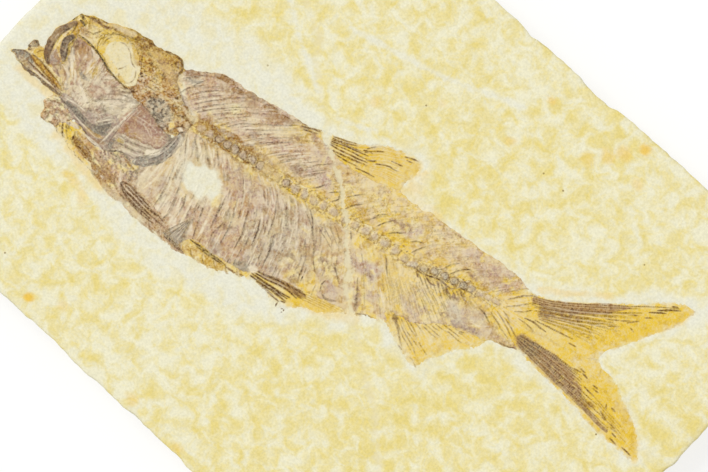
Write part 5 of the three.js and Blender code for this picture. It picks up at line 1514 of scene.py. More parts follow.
def draw_paired_fins(sheet):
    mine = sheet.owner == sheet.names.index("pectoral_fin")
    x, y = sheet.x, sheet.y
    sheet.tones["film"][mine] = (0.6 + 0.4 * (grain(x, y, 1.5, 94) - 0.5))[mine]
    sheet.tones["bone"][mine] = 0.3
    sheet.tones["gold"][mine] = 0.4
    sheet.lines(
        [
            [(32.4, -17.9), (34.2, -17.8), (37, -18.6), (39.6, -19.3)],
            [(32.3, -18.2), (33.1, -18.9), (35.8, -19.6), (38.6, -20.3), (40.8, -20.7)],
            [(32.7, -18.8), (35, -19.8), (38, -20.7), (41, -21.3)],
            [(33.2, -19.2), (35.4, -20.2), (38.6, -21.1)],
            [(33.4, -18.2), (36, -18.8), (39, -19.6), (41.8, -20.1)],
        ],
        width=0.5, ends=(0.7, 0.4), ink=0.92, bone=0.5, rise=0.18, gaps=0.12,
    )
    sheet.lines([[(33.2, -18.5), (36, -19.2), (39.4, -20)], [(33.4, -19.1), (36, -20), (39.4, -20.9)],
                 [(33.4, -17.9), (36.6, -18.7), (40, -19.6)]], width=0.18, chalk=0.7, ink=-0.7)
    sheet.lines([[(36, -20.8), (39, -21.4), (42.6, -21.9)], [(40, -19.6), (42.6, -20.1), (44, -20.6)],
                 [(40.6, -20.6), (42.4, -21), (44, -21.3)], [(44.6, -22.3), (47, -22.8), (50, -23.7)],
                 [(45, -22.8), (47.4, -23.3), (50, -23.9)]], width=0.34, ink=0.8, bone=0.4, rise=0.12,
                gaps=0.25)
    sheet.line([(40, -20.2), (43.6, -21.3), (46.2, -22.4)], 1.5, bone=0.4, film=0.5, ink=0.2, joints=0.6)

    web(sheet, "pelvic_fin", 0.7)
    sheet.lines(
        [
            [(64.8, -19.3), (68, -18.9), (72, -18.5), (75.4, -18.4)],
            [(64.4, -19.8), (68, -19.6), (71.8, -19.4), (74.2, -19.8)],
            [(64, -20.2), (67.4, -20.4), (70.6, -20.6), (73, -20.4)],
            [(64, -20.7), (67, -20.9), (70, -21.2), (72.6, -21.5)],
            [(65.4, -20.4), (69, -20.9), (72.6, -20.9)],
            [(65.6, -21), (68.4, -21.6), (71.4, -22.3)],
        ],
        width=0.42, ends=(0.7, 0.5), ink=0.93, bone=0.5, rise=0.16, gaps=0.12,
    )
    sheet.lines([[(65, -20.55), (69, -20.8), (72, -21.1)], [(66, -21.2), (69.4, -21.8), (72, -22)],
                 [(65, -19.6), (69, -19.3), (72, -19)]], width=0.18, chalk=0.8, ink=-0.6)
    sheet.line([(66, -19.4), (70, -18.9), (74, -18.7), (75.6, -18.6)], 1.3, bone=0.55, ink=0.32, film=0.5,
               gaps=0.3)
    sheet.lines([[(73.4, -18.3), (74.8, -18.5), (75.8, -18.9)], [(73, -19), (74.4, -19.2), (75.4, -19.2)]],
                width=0.7, ink=0.55, bone=0.6, gaps=0.3)
    sheet.lines([[(69.5, -23), (70.6, -23.2), (71.4, -23.4)], [(71.4, -22.7), (71.4, -23.6)],
                 [(72.6, -23.2), (73.8, -23.3)], [(72.6, -23.7), (73.6, -23.9)], [(71.8, -22), (72.8, -21.8)],
                 [(73.4, -24.2), (73.6, -24.5)]], width=0.3, ink=0.8, bone=0.4, gaps=0.4)
    sheet.area([(69, -22.5), (73.8, -22.2), (74.4, -24.6), (70.6, -24)], soft=0.4, gold=-0.8)
    sheet.fan([(74, -18.4), (74.4, -20)], [(83.6, -17.3), (80, -19.4)], 8, reach=(0.8, 1), width=0.22,
              gold=0.9, bone=0.35, ink=0.12, gaps=0.3)
    sheet.area([(62.6, -18.8), (64, -18.8), (64.9, -19.4), (64, -20.2), (62.8, -19.8)], soft=0.4,
               mask=speckled(0.6, 35, 0.2, 0.5), chalk=0.9, ink=-0.9, film=-0.8, gold=-0.4)


def draw_scutes(sheet):
    mine = sheet.owner == sheet.names.index("belly_scutes")
    x, y = sheet.x, sheet.y
    front = 1 - ramp(x, 47, 50)
    sheet.tones["gold"][mine] = (0.75 - 0.35 * front + 0.4 * (grain(x, y, 1.4, 95, 2) - 0.5))[mine]
    sheet.tones["bone"][mine] = (0.42 * ramp(grain(x, y, 2, 96, 2), 0.35, 0.6) + 0.1 * front)[mine]
    sheet.tones["film"][mine] = (0.6 * front * ramp(grain(x, y, 1.4, 97, 2), 0.35, 0.6))[mine]
    for start in np.arange(36, 63, 2.5):
        low = float(np.interp(start, [36, 44, 50, 57, 63], [-22.8, -23.8, -24, -23.3, -22.2]))
        sheet.line([(start, low + 1.6), (start + 0.7, low + 0.6), (start + 1.8, low + 0.05)], 0.3, ink=0.4,
                   bone=0.5, gaps=0.4, rise=0.08, seed=int(start))
        sheet.line([(start + 0.3, low + 1.6), (start + 1, low + 0.7)], 0.24, chalk=0.5)
    sheet.area([(49.6, -21.4), (54, -21.6), (58.6, -22), (58.4, -23), (54.6, -23.8), (51, -23.4)], soft=0.4,
               mask=speckled(1.2, 98, 0.2, 0.5), bone=0.55, gold=0.8)
    sheet.lines([[(50, -20.8), (53, -21), (56, -21.2), (58.8, -21.6)],
                 [(51.6, -21.2), (54.4, -21.5), (58.2, -21.8)]], width=0.4, ink=0.9, cool=0.3, rise=0.12,
                gaps=0.2)
    sheet.lines([[(58.8, -21.8), (61.2, -21.9)], [(62, -21.6), (63.3, -21.8)]], width=0.4, ink=0.5, bone=0.7)
    sheet.lines([[(37, -21.6), (40, -22.3), (43.6, -23)], [(38, -22.5), (41.4, -23.1), (44.6, -23.6)],
                 [(36, -21.4), (39, -21.7), (43, -22.4)]], width=0.3, ink=0.35, bone=0.4, gaps=0.6,
                joints=0.4)
    sheet.area([(35.4, -20.9), (39.6, -20.6), (40, -22.4), (36, -22.6)], soft=0.5, ink=-0.6, film=-0.3,
               chalk=0.2)
    # The belly's edge is thin and pale under the long fin of the chest.
    sheet.area([(29, -20), (32, -20.4), (36, -20.8), (40, -21.6), (40, -22.6), (35, -22), (30, -21.4)],
               soft=0.5, film=-0.5, bone=-0.5, ink=-0.6, chalk=0.3)


def draw_tail(sheet):
    web(sheet, "tail_fin_upper_lobe", 0.98, patchy=0.35)
    web(sheet, "tail_fin_lower_lobe", 1.0, patchy=0.3)
    web(sheet, "tail_base", 0.8)
    # The web between the lobes is paler.
    sheet.area([(118, -0.4), (124, 0.4), (129, 2.6), (131.4, 1), (131.4, -2), (125, -2.6), (119, -2.4)],
               soft=1.4, gold=-0.12)
    sheet.area([(114.6, 1), (118, 1.6), (123, 1.8), (125, 0.4), (122, -1.6), (117, -1.8)], soft=1.2,
               gold=-0.3)
    sheet.area([(131, 9), (137, 14.6), (141.6, 17.8), (142.6, 16), (138.6, 10.8), (134, 7)], soft=1.2, gold=1)
    sheet.area([(130, 6.6), (134, 8), (136, 7), (132.6, 4.4), (129.4, 3.6)], soft=1, gold=0.95)
    sheet.area([(133, -1), (137, -2.6), (142, -5.6), (146, -9.6), (147.4, -12), (143, -10), (138, -7),
                (134, -4)], soft=1, gold=0.95)
    sheet.area([(109, 2), (112, 1), (116, 1.6), (116.8, -1.4), (112, -1.6), (108.6, -0.6)], soft=0.8,
               gold=0.8)
    # Fan of flat bones in front of the fin.
    sheet.fan([(108.8, 1.2), (109.6, 0), (109, -2.2)], [(115, 5.2), (116.6, 0.4), (115.4, -5)], 16,
              reach=(0.8, 1), width=0.3, chalk=0.45, gold=0.5, ink=-0.4, gaps=0.3, seed=31)
    sheet.lines(
        [
            [(111, 0.3), (112.6, 1.4), (114, 2.6), (115.4, 3.8)],
            [(111.4, 2.6), (113, 4), (115, 5.2)],
            [(110.6, 1.8), (112.8, 3.6)],
            [(113, 0.4), (114.6, 1.2), (116, 2.4)],
            [(111, -0.7), (112.2, -1.2), (113.3, -2)],
            [(114.4, -0.5), (116.4, -0.7), (118.7, -1.2)],
            [(110, -1.4), (112.6, -2.8), (115, -4.4)],
            [(109, -2.2), (111.6, -3.6), (114.6, -5)],
            [(112, -1.8), (114, -2.8), (116, -4)],
        ],
        width=0.28, ink=0.55, bone=0.4, rise=0.1, gaps=0.4,
    )
    draw_upper_lobe(sheet)
    draw_lower_lobe(sheet)


def draw_upper_lobe(sheet):
    edge = [(114.6, 4.9), (117, 5.4), (119.6, 6.4), (123, 8.1), (126.6, 10), (130, 11.8), (134, 14.1),
            (138, 16.3), (141, 17.7)]
    band = [(115.2, 4.4), (118, 5), (121, 6.1), (124.6, 7.9), (128, 10), (130.6, 11.6), (132.6, 12.9)]
    sheet.line(band, 2.2, ends=(0.5, 0.1), bone=0.65, film=0.6, ink=0.22, gold=-0.2, rise=0.12, gaps=0.3)
    for offset, reach in ((0.0, 1.0), (0.42, 0.8), (0.84, 0.66), (1.26, 0.56), (1.68, 0.45)):
        count = max(4, int(len(edge) * reach))
        path = [(x + offset * 0.42, y - offset * 0.95) for x, y in edge[:count]]
        sheet.line(path, 0.26, ends=(0.8, 0.5), ink=0.8, bone=0.3, rise=0.1, joints=0.5, gaps=0.2,
                   seed=int(offset * 9) + 2)
        low = [(x + 0.09, y - 0.21) for x, y in path]
        sheet.line(low, 0.14, chalk=0.35, ink=-0.4, joints=0.3)
    # Rays that fan out below the leading band.
    rays = (
        ((115.4, 3.6), (119, 5.2), (124.6, 7.6), (130.6, 10.6), (135, 13.2)),
        ((116, 3.1), (120, 4.8), (126, 7.4), (131, 9.8)),
        ((116.4, 2.6), (120, 3.9), (125, 6), (131, 8.6)),
        ((117, 2.4), (121, 3.8), (126, 5.6), (130.4, 7.8)),
        ((117.4, 2.2), (121, 3.3), (125, 4.6), (128.6, 5.2)),
        ((117.6, 1.9), (121, 2.7), (124.6, 3.7), (128, 4.4)),
        ((118, 1.6), (121, 2.1), (124, 2.9)),
        ((122.6, 2.4), (124, 2.7), (125.6, 2.9)),
        ((118.6, 1.8), (120.4, 2), (122.6, 2.2)),
        ((117.4, 0.9), (120, 1.1), (123, 1.3), (125.8, 1.6)),
    )
    sheet.lines(rays, width=0.32, ends=(0.6, 0.4), ink=0.72, bone=0.5, rise=0.12, gaps=0.4, joints=0.4)
    sheet.fan([(116.6, 3.8), (117.4, 1.6)], [(135.6, 13), (134, 9), (132, 5.6), (129, 2.4)], 34,
              reach=(0.5, 1), width=0.18, ink=0.6, bone=0.5, rise=0.06, joints=0.4, gaps=0.5, seed=41)
    between = [[(x + 0.15, y - 0.34) for x, y in ray] for ray in rays[:6]]
    sheet.lines(between, width=0.24, chalk=0.55, gold=0.3, ink=-0.7, gaps=0.3)
    sheet.area([(117.4, 3.8), (120, 5), (124.6, 6.4), (124.4, 4.8), (120.4, 3.2), (119, 2), (117.4, 2.4)],
               soft=0.5, mask=speckled(0.6, 36, 0.2, 0.5), ink=0.4, bone=0.5, film=0.5)
    sheet.lines(
        [
            [(115.4, 0.2), (117.6, 0.4), (119, 0.2), (120.4, 0)],
            [(138, 15.6), (139.6, 16.6), (141.4, 17.5)],
            [(139.6, 17.4), (140.6, 17.8)],
            [(137.4, 15.2), (138.6, 15.9), (139.6, 16.4)],
            [(136.2, 14), (138, 15), (139.2, 15.6)],
        ],
        width=0.34, ends=(0.6, 0.4), ink=0.8, bone=0.5, gaps=0.2,
    )
    bits = (
        ((132.2, 9.6), (133.8, 10.6)), ((133.4, 9.9), (134.8, 10.9)), ((134.2, 10.6), (135.4, 11.4)),
        ((134.6, 9.4), (135.6, 9)), ((127.6, 6), (128, 5.2)), ((127.8, 4.6), (128.6, 4.4)),
        ((126.4, 3.2), (127.8, 3.9)), ((128, 3.4), (128.6, 3.6)), ((129.4, 8.4), (132, 9.6)),
        ((136, 12.6), (137.4, 13.4)), ((130.4, 7.4), (132, 8.2)), ((125.6, 0.5), (127.2, 0.6)),
        ((133, 11.4), (134.6, 12.3)),
    )  # fmt: skip
    sheet.lines(bits, width=0.3, ink=0.5, bone=0.6, gaps=0.5)
    sheet.area([(121, 1.8), (127.6, 2.8), (127.6, 4.4), (122, 3.4)], soft=0.5, ink=-0.5, bone=-0.4)
    sheet.area([(128, 4.6), (131, 5), (131.4, 7.4), (128.6, 7)], soft=0.8, gold=0.9, film=-0.6, bone=-0.4)
    sheet.area([(130.4, -0.2), (132.4, 0), (133.2, 2), (131.4, 1.6)], soft=0.6, gold=-0.35)


def draw_lower_lobe(sheet):
    sheet.area([(116, -3.4), (118, -2.9), (124.5, -3.2), (128.6, -3.9), (131, -5.4), (133, -7), (131.6, -8.5),
                (125, -7.3), (119, -5.9), (116.6, -5)], soft=0.5, mask=speckled(0.9, 33, 0.1, 0.4), film=0.75,
               bone=0.6, ink=0.34, gold=-0.2, rise=0.1)
    sheet.area([(115.8, -3.6), (118, -3), (121, -3.2), (121, -6), (118, -5.4), (116.4, -4.6)], soft=0.6,
               film=0.8, cool=0.8, ink=0.2)
    # Close-set rays that start together and part towards the edge of the fin.
    heads = [(116.4, -3.3), (116.4, -4.9)]
    tips = [(130, -3.6), (132.6, -5), (136.4, -7), (139.6, -8.7), (141, -10.2), (141, -10.9)]
    start = smooth(heads, 4)
    finish = smooth(tips, 8)
    count = 15
    for i in range(count):
        t = i / (count - 1)
        a = start[int(t * (len(start) - 1))]
        b = finish[int(t * (len(finish) - 1))]
        b = a + (b - a) * (0.86 + 0.14 * math.sin(i * 2.3) if 2 < i < 11 else 1)
        bow = np.array([0, 0.4 * (1 - 1.3 * t)])
        path = [a, a * 0.66 + b * 0.34 + bow, a * 0.33 + b * 0.67 + bow * 0.8, b]
        sheet.line(path, 0.26, ends=(0.6, 0.5), ink=0.8 if i < 12 else 0.6, bone=0.4, rise=0.1, joints=0.5,
                   gaps=0.2, seed=i + 3)
        pale = [p + np.array([0.02, -0.24]) for p in path]
        sheet.line(pale, 0.16, ends=(0.2, 1), chalk=0.45, ink=-0.7, gold=0.7, film=-0.5, joints=0.3, gaps=0.5,
                   seed=i + 60)
    sheet.lines([[(117, -5.2), (121, -6.1), (126, -7.2), (129.4, -8.1)],
                 [(117.4, -4.9), (122, -6), (127.4, -7.2), (132, -8.4)]], width=0.26, ink=0.6, bone=0.5,
                gaps=0.2)
    sheet.line([(131, -7.9), (134, -8.8), (137.6, -9.9), (141, -10.8)], 0.8, ends=(1, 0.7), bone=0.7,
               ink=0.42, film=0.4, gaps=0.2)
    sheet.area([(132.4, -7.4), (136, -7.4), (136.6, -8.2), (134, -8.8), (132, -8.4)], soft=0.3, bone=0.6,
               ink=0.3)
    bits = (
        ((130.2, -2.7), (131.4, -3)), ((131, -3.3), (132.4, -3.7)), ((134, -4.2), (135.4, -4.4)),
        ((134.4, -4.8), (135.8, -5)), ((132.6, -5.4), (135.6, -6.2)), ((138.2, -6.2), (138.8, -7)),
        ((138, -8), (139.8, -8.8)), ((138.8, -8.8), (139.8, -9)), ((141, -9.2), (142.4, -9.6)),
        ((141.4, -9.7), (142.6, -10)), ((139.6, -6.2), (140.6, -6.6)), ((129, -3.3), (130.6, -3.3)),
        ((142.2, -10.6), (143.4, -10.9)), ((142.4, -11.6), (144.2, -12.2)), ((145.4, -11.9), (147.6, -12.5)),
    )  # fmt: skip
    sheet.lines(bits, width=0.3, ink=0.65, bone=0.6, gaps=0.4)
    sheet.fan([(135, -6), (139, -9)], [(146.6, -9.6), (147.6, -12)], 7, reach=(0.6, 0.9), width=0.22,
              ink=0.25, bone=0.35, gaps=0.5, seed=23)
    sheet.area([(132, -0.4), (137, -1.4), (143, -5.2), (142, -7), (136, -3), (131.4, -2)], soft=0.8,
               gold=-0.18)


# ---- From the drawn surface to meshes ----------------------------------------------------------------------


def draw_sheet(step):
    """The whole fish, drawn once. Every piece then takes its own places from it."""
    sheet = Sheet(step)
    spine_line = smooth(BACKBONE, 4)
    half = np.interp(spine_line[:, 0], [38, 90, 111], [1.35, 1.25, 0.8])
    top = np.column_stack([spine_line[:, 0], spine_line[:, 1] + half])
    low = np.column_stack([spine_line[:, 0], spine_line[:, 1] - half])[::-1]
    heights = {
        "upper_jaw": 0.3, "lower_jaw": 0.3, "opercle": 0.22, "shoulder_girdle": 0.26, "subopercle": 0.12,
        "preopercle": 0.16, "skull_roof_and_braincase": 0.26, "cheek": 0.1, "throat_bones": 0.1,
        "tongue_bones": 0.12,
    }
    early = [name for name in OUTLINES if name not in ("upper_flank", "rib_cage", "tail_stem", "tail_base")]
    for name in early:
        sheet.claim(name, OUTLINES[name], heights.get(name, 0))
    sheet.claim("backbone", np.vstack([top[::6], low[::6]]))
    for name in ("tail_base", "upper_flank", "rib_cage", "tail_stem"):
        sheet.claim(name, OUTLINES[name])
    sheet.close_gaps()
    draw_flanks(sheet)
    draw_skull(sheet)
    draw_cheek(sheet)
    draw_gill_covers(sheet)
    draw_eye(sheet)
    draw_jaws(sheet)
    draw_throat(sheet)
    draw_scutes(sheet)
    draw_paired_fins(sheet)
    draw_dorsal_fin(sheet)
    draw_anal_fin(sheet)
    draw_tail(sheet)
    draw_backbone(sheet)
    finish_sheet(sheet)
    return sheet


def finish_sheet(sheet):
    """Sinks the fish's rim into the rock, wears its tones there, and cuts the healed crack across it."""
    x, y = sheet.x, sheet.y
    # No two tones wear alike: each has its own grit, and pale and dark bits lie among them.
    webs = np.isin(sheet.owner, [sheet.names.index(name) for name in SOFT_EDGED])
    for number, name in enumerate(TONES):
        grit = 0.5 if name == "gold" else 0.95
        sheet.tones[name] = sheet.tones[name] * (1 + grit * (grain(x * 1.1, y, 0.4, 110 + number, 2) - 0.5))
    bits = grain(x * 1.15 + 0.3 * y, y, 0.34, 118, 2)
    rough = (1 - 0.75 * webs) * (0.35 + 0.65 * ramp(grain(x, y, 2.6, 119, 2), 0.3, 0.7))
    rough *= ramp(
        np.maximum(sheet.tones["film"], np.maximum(sheet.tones["bone"], sheet.tones["gold"])), 0.15, 0.45,
    )
    sheet.tones["ink"] = np.maximum(sheet.tones["ink"], 0.38 * rough * ramp(bits, 0.6, 0.8))
    sheet.tones["chalk"] = np.maximum(sheet.tones["chalk"], 0.6 * rough * ramp(1 - bits, 0.6, 0.8))
    covered = (sheet.owner >= 0).astype(float)
    close = blurred(covered, round(0.16 / sheet.step))
    wide = blurred(covered, round(0.6 / sheet.step))
    soft = blurred(covered, round(1.1 / sheet.step))
    inner = ramp(close, 0.5, 0.95)
    frayed = ramp(close + (grain(x, y, 0.6, 99, 2) - 0.5) * 0.5, 0.42, 0.66)
    faded = ramp(soft + (grain(x, y, 1.0, 98, 3) - 0.5) * 0.6, 0.42, 0.92)
    for name in TONES:
        worn = np.where(webs & (name in ("gold", "film")), faded, frayed)
        sheet.tones[name] = np.clip(sheet.tones[name], 0, 1) * worn
    sx, sy = to_slab(x, y)
    crack = crack_depth(sx, sy)
    sheet.crack = crack
    # Webs thin out to nothing, and bones have a low step.
    edge = np.where(webs, ramp(soft, 0.5, 1), inner)
    relief = np.where(webs, 0.05, 0.1) * edge + np.clip(sheet.rise, -0.1, 0.95) * inner
    relief += 0.05 * (grain(x, y, 0.45, 100, 2) - 0.5) * inner
    relief *= 1 - 0.6 * crack
    sheet.relief = relief - np.where(webs, 0.015, 0.05) * (1 - edge)
    sheet.covered = wide
    sheet.halo = soft


_drawn = []


def fish_sheet():
    if not _drawn:
        _drawn.append(draw_sheet(bpy.context.scene.fossil_fish.step / MM))
    return _drawn[0]


def new_object(name, points, faces, material):
    mesh = bpy.data.meshes.new(name)
    mesh.from_pydata(points, [], faces)
    mesh.materials.append(material)
    obj = bpy.data.objects.new(name, mesh)
    bpy.context.scene.collection.objects.link(obj)
    return obj


def add_numbers(mesh, name, values):
    layer = mesh.attributes.new(name, "FLOAT", "POINT")
    layer.data.foreach_set("value", np.asarray(values, np.float32))


def bone_mesh(name, material):
    """Makes one piece from its places on the sheet, with walls and a flat underside set in the rock."""
    sheet = fish_sheet()
    cells = sheet.owner[:-1, :-1] == sheet.names.index(name)
    cells[:, 0] = cells[:, -1] = cells[0] = cells[-1] = False
    if not cells.any():
        raise RuntimeError(f"{name} has no place on the sheet")
    j, i = np.nonzero(cells)
    corners = [(j, i), (j, i + 1), (j + 1, i + 1), (j + 1, i)]
    used = np.zeros(sheet.x.shape, bool)
    for corner in corners:
        used[corner] = True
    index = np.full(sheet.x.shape, -1)
    index[used] = np.arange(used.sum())
    quads = np.column_stack([index[corner] for corner in corners])

    sx, sy = to_slab(sheet.x[used], sheet.y[used])
    z = slab_height(sx, sy) + sheet.relief[used]
    top = np.column_stack([sx, sy, z])

    walls = []
    for dj, di, a, b in ((-1, 0, 0, 1), (0, 1, 1, 2), (1, 0, 2, 3), (0, -1, 3, 0)):
        open_side = ~cells[j + dj, i + di]
        walls.append(quads[open_side][:, [a, b]])
    walls = np.vstack(walls)
    rim = np.unique(walls)
    lower = np.full(len(top), -1)
    lower[rim] = len(top) + np.arange(len(rim))
    foot = top[rim].copy()
    foot[:, 2] = BED - 0.45
    faces = quads.tolist()
    faces += np.column_stack([walls[:, 1], walls[:, 0], lower[walls[:, 0]], lower[walls[:, 1]]]).tolist()
    obj = new_object("fossil_" + name, (np.vstack([top, foot]) * MM).tolist(), faces, material)
    mesh = obj.data
    for tone in TONES:
        values = sheet.tones[tone][used]
        add_numbers(mesh, tone, np.concatenate([values, values[rim]]))
    crack = sheet.crack[used]
    add_numbers(mesh, "crack", np.concatenate([crack, crack[rim]]))
    scraped = scraped_amount(sx, sy)
    stain = stain_amount(sheet.x[used], sheet.y[used])
    add_numbers(mesh, "scraped", np.concatenate([scraped, scraped[rim]]))
    add_numbers(mesh, "spots", 0.4 * np.concatenate([stain, stain[rim]]))
    smooth_faces = np.zeros(len(mesh.polygons), bool)
    smooth_faces[: len(quads)] = True
    mesh.polygons.foreach_set("use_smooth", smooth_faces)
    close_underside(mesh)
    return obj


def close_underside(mesh):
    bm = bmesh.new()
    bm.from_mesh(mesh)
    open_edges = [edge for edge in bm.edges if edge.is_boundary]
    filled = bmesh.ops.triangle_fill(bm, edges=open_edges, normal=(0, 0, -1), use_beauty=False)
    for face in filled["geom"]:
        if isinstance(face, bmesh.types.BMFace):
            face.smooth = False
    bm.to_mesh(mesh)
    bm.free()


def slab_sides(count_x, count_y, raggedness):
    """The slab's four broken sides, as points from left to right and from near to far."""
    near = [
        (-79.2, -54.2), (-63, -54.3), (-42.4, -54.25), (-38.9, -54.25), (-35.6, -54.55), (-31.6, -54.25),
        (-28.3, -54.5), (-21.6, -54.85), (-17.8, -54.65), (-10.9, -54.85), (-3.5, -54.75), (3.6, -54.8),
        (6.5, -55.3), (45, -55.6), (78, -56.05), (79.2, -54.9),
    ]  # fmt: skip
    far = [
        (-76.4, 53.9), (-75.2, 55.1), (-42, 55.3), (-11, 55.75), (-6.5, 56.05), (-3.2, 55.7), (0, 55.3),
        (3.8, 55.7), (11.2, 55.8), (18, 55.6), (25.8, 56.05), (44, 56.05), (76.9, 56.05), (78.1, 55.1),
    ]  # fmt: skip
    left = [
        (-79.2, -54.2), (-78.8, -24), (-78.4, -14.9), (-78.35, -8.6), (-78.1, -5.1), (-77.9, 4),
        (-76.8, 30), (-76.4, 53.9),
    ]  # fmt: skip
    right = [(79.2, -54.9), (79.2, -38), (78.7, 0), (78.6, 15), (78.4, 42), (78.1, 55.1)]
    sides = []
    for points, count, axis, inward, seed in (
        (near, count_x, 0, 1, 1),
        (far, count_x, 0, -1, 2),
        (left, count_y, 1, 1, 3),
        (right, count_y, 1, -1, 4),
    ):
        p = np.array(points)
        t = np.linspace(p[0, axis], p[-1, axis], count + 1)
        other = np.interp(t, p[:, axis], p[:, 1 - axis])
        chips = ramp(grain(t, t * 0, 7.0, seed + 20, 2), 0.62, 0.9) * 0.5
        fret = grain(t, t * 0 + 3, 1.6, seed + 30, 3)
        ends = np.minimum(ramp(np.abs(t - t[0]), 0, 1.5), ramp(np.abs(t - t[-1]), 0, 1.5))
        other += inward * (chips + fret * raggedness) * ends
        sides.append(np.column_stack([t, other] if axis == 0 else [other, t]))
    return sides


def slab_mesh(name, settings, material):
    """One closed mesh: a fine split face, laminated broken sides and a coarser underside."""
    nx, ny, layers = settings.columns, settings.rows, settings.layers
    ragged = settings.raggedness / MM
    if nx % 3 or ny % 3:
        raise RuntimeError("the slab's columns and rows must be multiples of 3")
    near, far, left, right = slab_sides(nx, ny, ragged)
    u = np.linspace(0, 1, nx + 1)[None, :, None]
    v = np.linspace(0, 1, ny + 1)[:, None, None]
    corners = (1 - u) * (1 - v) * near[0] + u * (1 - v) * near[-1] + (1 - u) * v * far[0] + u * v * far[-1]
    flat = (1 - v) * near + v * far + (1 - u) * left[:, None] + u * right[:, None] - corners
    x, y = flat[..., 0], flat[..., 1]
    sheet = fish_sheet()
    fx, fy = to_fish(x, y)
    i = np.clip(np.rint((fx - sheet.xs[0]) / sheet.step).astype(int), 0, len(sheet.xs) - 1)
    j = np.clip(np.rint((fy - sheet.ys[0]) / sheet.step).astype(int), 0, len(sheet.ys) - 1)
    inside = (fx > sheet.xs[0]) & (fx < sheet.xs[-1]) & (fy > sheet.ys[0]) & (fy < sheet.ys[-1])
    z = slab_height(x, y) - 0.5 * ramp(sheet.covered[j, i], 0.93, 1)
    halo = 0.8 * inside * ramp(sheet.halo[j, i] + (grain(x, y, 1.8, 39, 2) - 0.5) * 0.6, 0.15, 0.6)
    stain = stain_amount(fx, fy)

    # Lower the rim a little, so that the broken edge catches the light.
    from_edge = np.minimum(np.minimum(x - x[:, :1], x[:, -1:] - x), np.minimum(y - y[:1], y[-1:] - y))
    z -= 0.25 * (1 - ramp(from_edge + grain(x, y, 2, 45, 2) * 1.2, 0.4, 1.8))

    points = [np.column_stack([x.ravel(), y.ravel(), z.ravel()])]
    grid = np.arange((nx + 1) * (ny + 1)).reshape(ny + 1, nx + 1)
    faces = quad_cells(grid).tolist()
    top_count = len(faces)
    ring = np.concatenate([grid[0, :-1], grid[:-1, -1], grid[-1, :0:-1], grid[:0:-1, 0]])
    rim = points[0][ring]
    out = np.zeros((len(ring), 2))
    out[:nx, 1] = -1
    out[nx : nx + ny, 0] = 1
    out[nx + ny : 2 * nx + ny, 1] = 1
    out[2 * nx + ny :, 0] = -1
    run = np.arange(len(ring)) * SLAB_LENGTH / nx
    last = ring
    count = len(points[0])
    for layer in range(1, layers + 1):
        level = 1 - layer / layers
        sets = (grain(run, run * 0 + layer * 5.3, 6, 46, 3) - 0.62) * 2.6 * ragged
        sets = np.minimum(sets + 0.9 * ragged * (layer % 3 == 0), 0.05)
        lower = rim.copy()
        lower[:, :2] += out * sets[:, None]
        lower[:, 2] = np.maximum(rim[:, 2] * level + (grain(run, run * 0 + layer, 9, 47, 2) - 0.5) * 0.25, 0)
        if layer == layers:
            lower[:, 2] = 0.18 * grain(run, run * 0, 4, 48)
        points.append(lower)
        ids = count + np.arange(len(ring))
        count += len(ring)
        faces += np.column_stack([last, ids, np.roll(ids, -1), np.roll(last, -1)]).tolist()
        last = ids

    # The underside has a third as many cells, and its rim cells take in the ring's extra points.
    bx, by = x[::3, ::3], y[::3, ::3]
    wide, deep = nx // 3, ny // 3
    bottom = np.full((deep + 1, wide + 1), -1)
    bottom[0, :] = np.concatenate([last[0:nx:3], last[nx : nx + 1]])
    bottom[:, -1] = np.concatenate([last[nx : nx + ny : 3], last[nx + ny : nx + ny + 1]])
    bottom[-1, ::-1] = np.concatenate([last[nx + ny : 2 * nx + ny : 3], last[2 * nx + ny : 2 * nx + ny + 1]])
    bottom[::-1, 0] = np.concatenate([last[2 * nx + ny :: 3], last[:1]])
    inner = np.column_stack([bx[1:-1, 1:-1].ravel(), by[1:-1, 1:-1].ravel()])
    bottom[1:-1, 1:-1] = count + np.arange(len(inner)).reshape(deep - 1, wide - 1)
    low = 0.22 * grain(inner[:, 0], inner[:, 1], 12, 49, 3)
    points.append(np.column_stack([inner, low]))
    follow = {int(a): (int(b), int(c)) for a, b, c in zip(last[::3], last[1::3], last[2::3])}
    for a, b, c, d in quad_cells(bottom).tolist():
        face = []
        for here, there in ((a, b), (b, c), (c, d), (d, a)):
            face.append(here)
            extra = follow.get(here)
            if extra:
                follows = extra[1] + 1 == there
                closes = there == int(last[0]) and extra[1] == int(last[-1])
                if follows or closes:
                    face += extra
        faces.append(face[::-1])

    everything = np.vstack(points)
    obj = new_object("split_" + name, (everything * MM).tolist(), faces, material)
    mesh = obj.data
    shading = np.zeros(len(mesh.polygons), bool)
    shading[:top_count] = True
    shading[-wide * deep :] = True
    mesh.polygons.foreach_set("use_smooth", shading)
    px, py = everything[:, 0], everything[:, 1]
    on_top = (np.arange(len(everything)) < grid.size).astype(float)
    add_numbers(mesh, "crack", crack_depth(px, py))
    scraped = scraped_amount(px, py) * on_top
    scraped[: grid.size] = np.maximum(scraped[: grid.size], halo.ravel())
    add_numbers(mesh, "scraped", scraped)
    spots = spot_amount(px, py) * on_top
    spots[: grid.size] = np.maximum(spots[: grid.size], 0.4 * stain.ravel())
    add_numbers(mesh, "spots", spots)
    return obj


def quad_cells(grid):
    """Corner numbers of every cell of a grid of point numbers, counter-clockwise."""
    corners = (grid[:-1, :-1], grid[:-1, 1:], grid[1:, 1:], grid[1:, :-1])
    return np.column_stack([part.ravel() for part in corners])


# ---- Materials ---------------------------------------------------------------------------------------------

MATT = 0.85  # roughness of stain and film


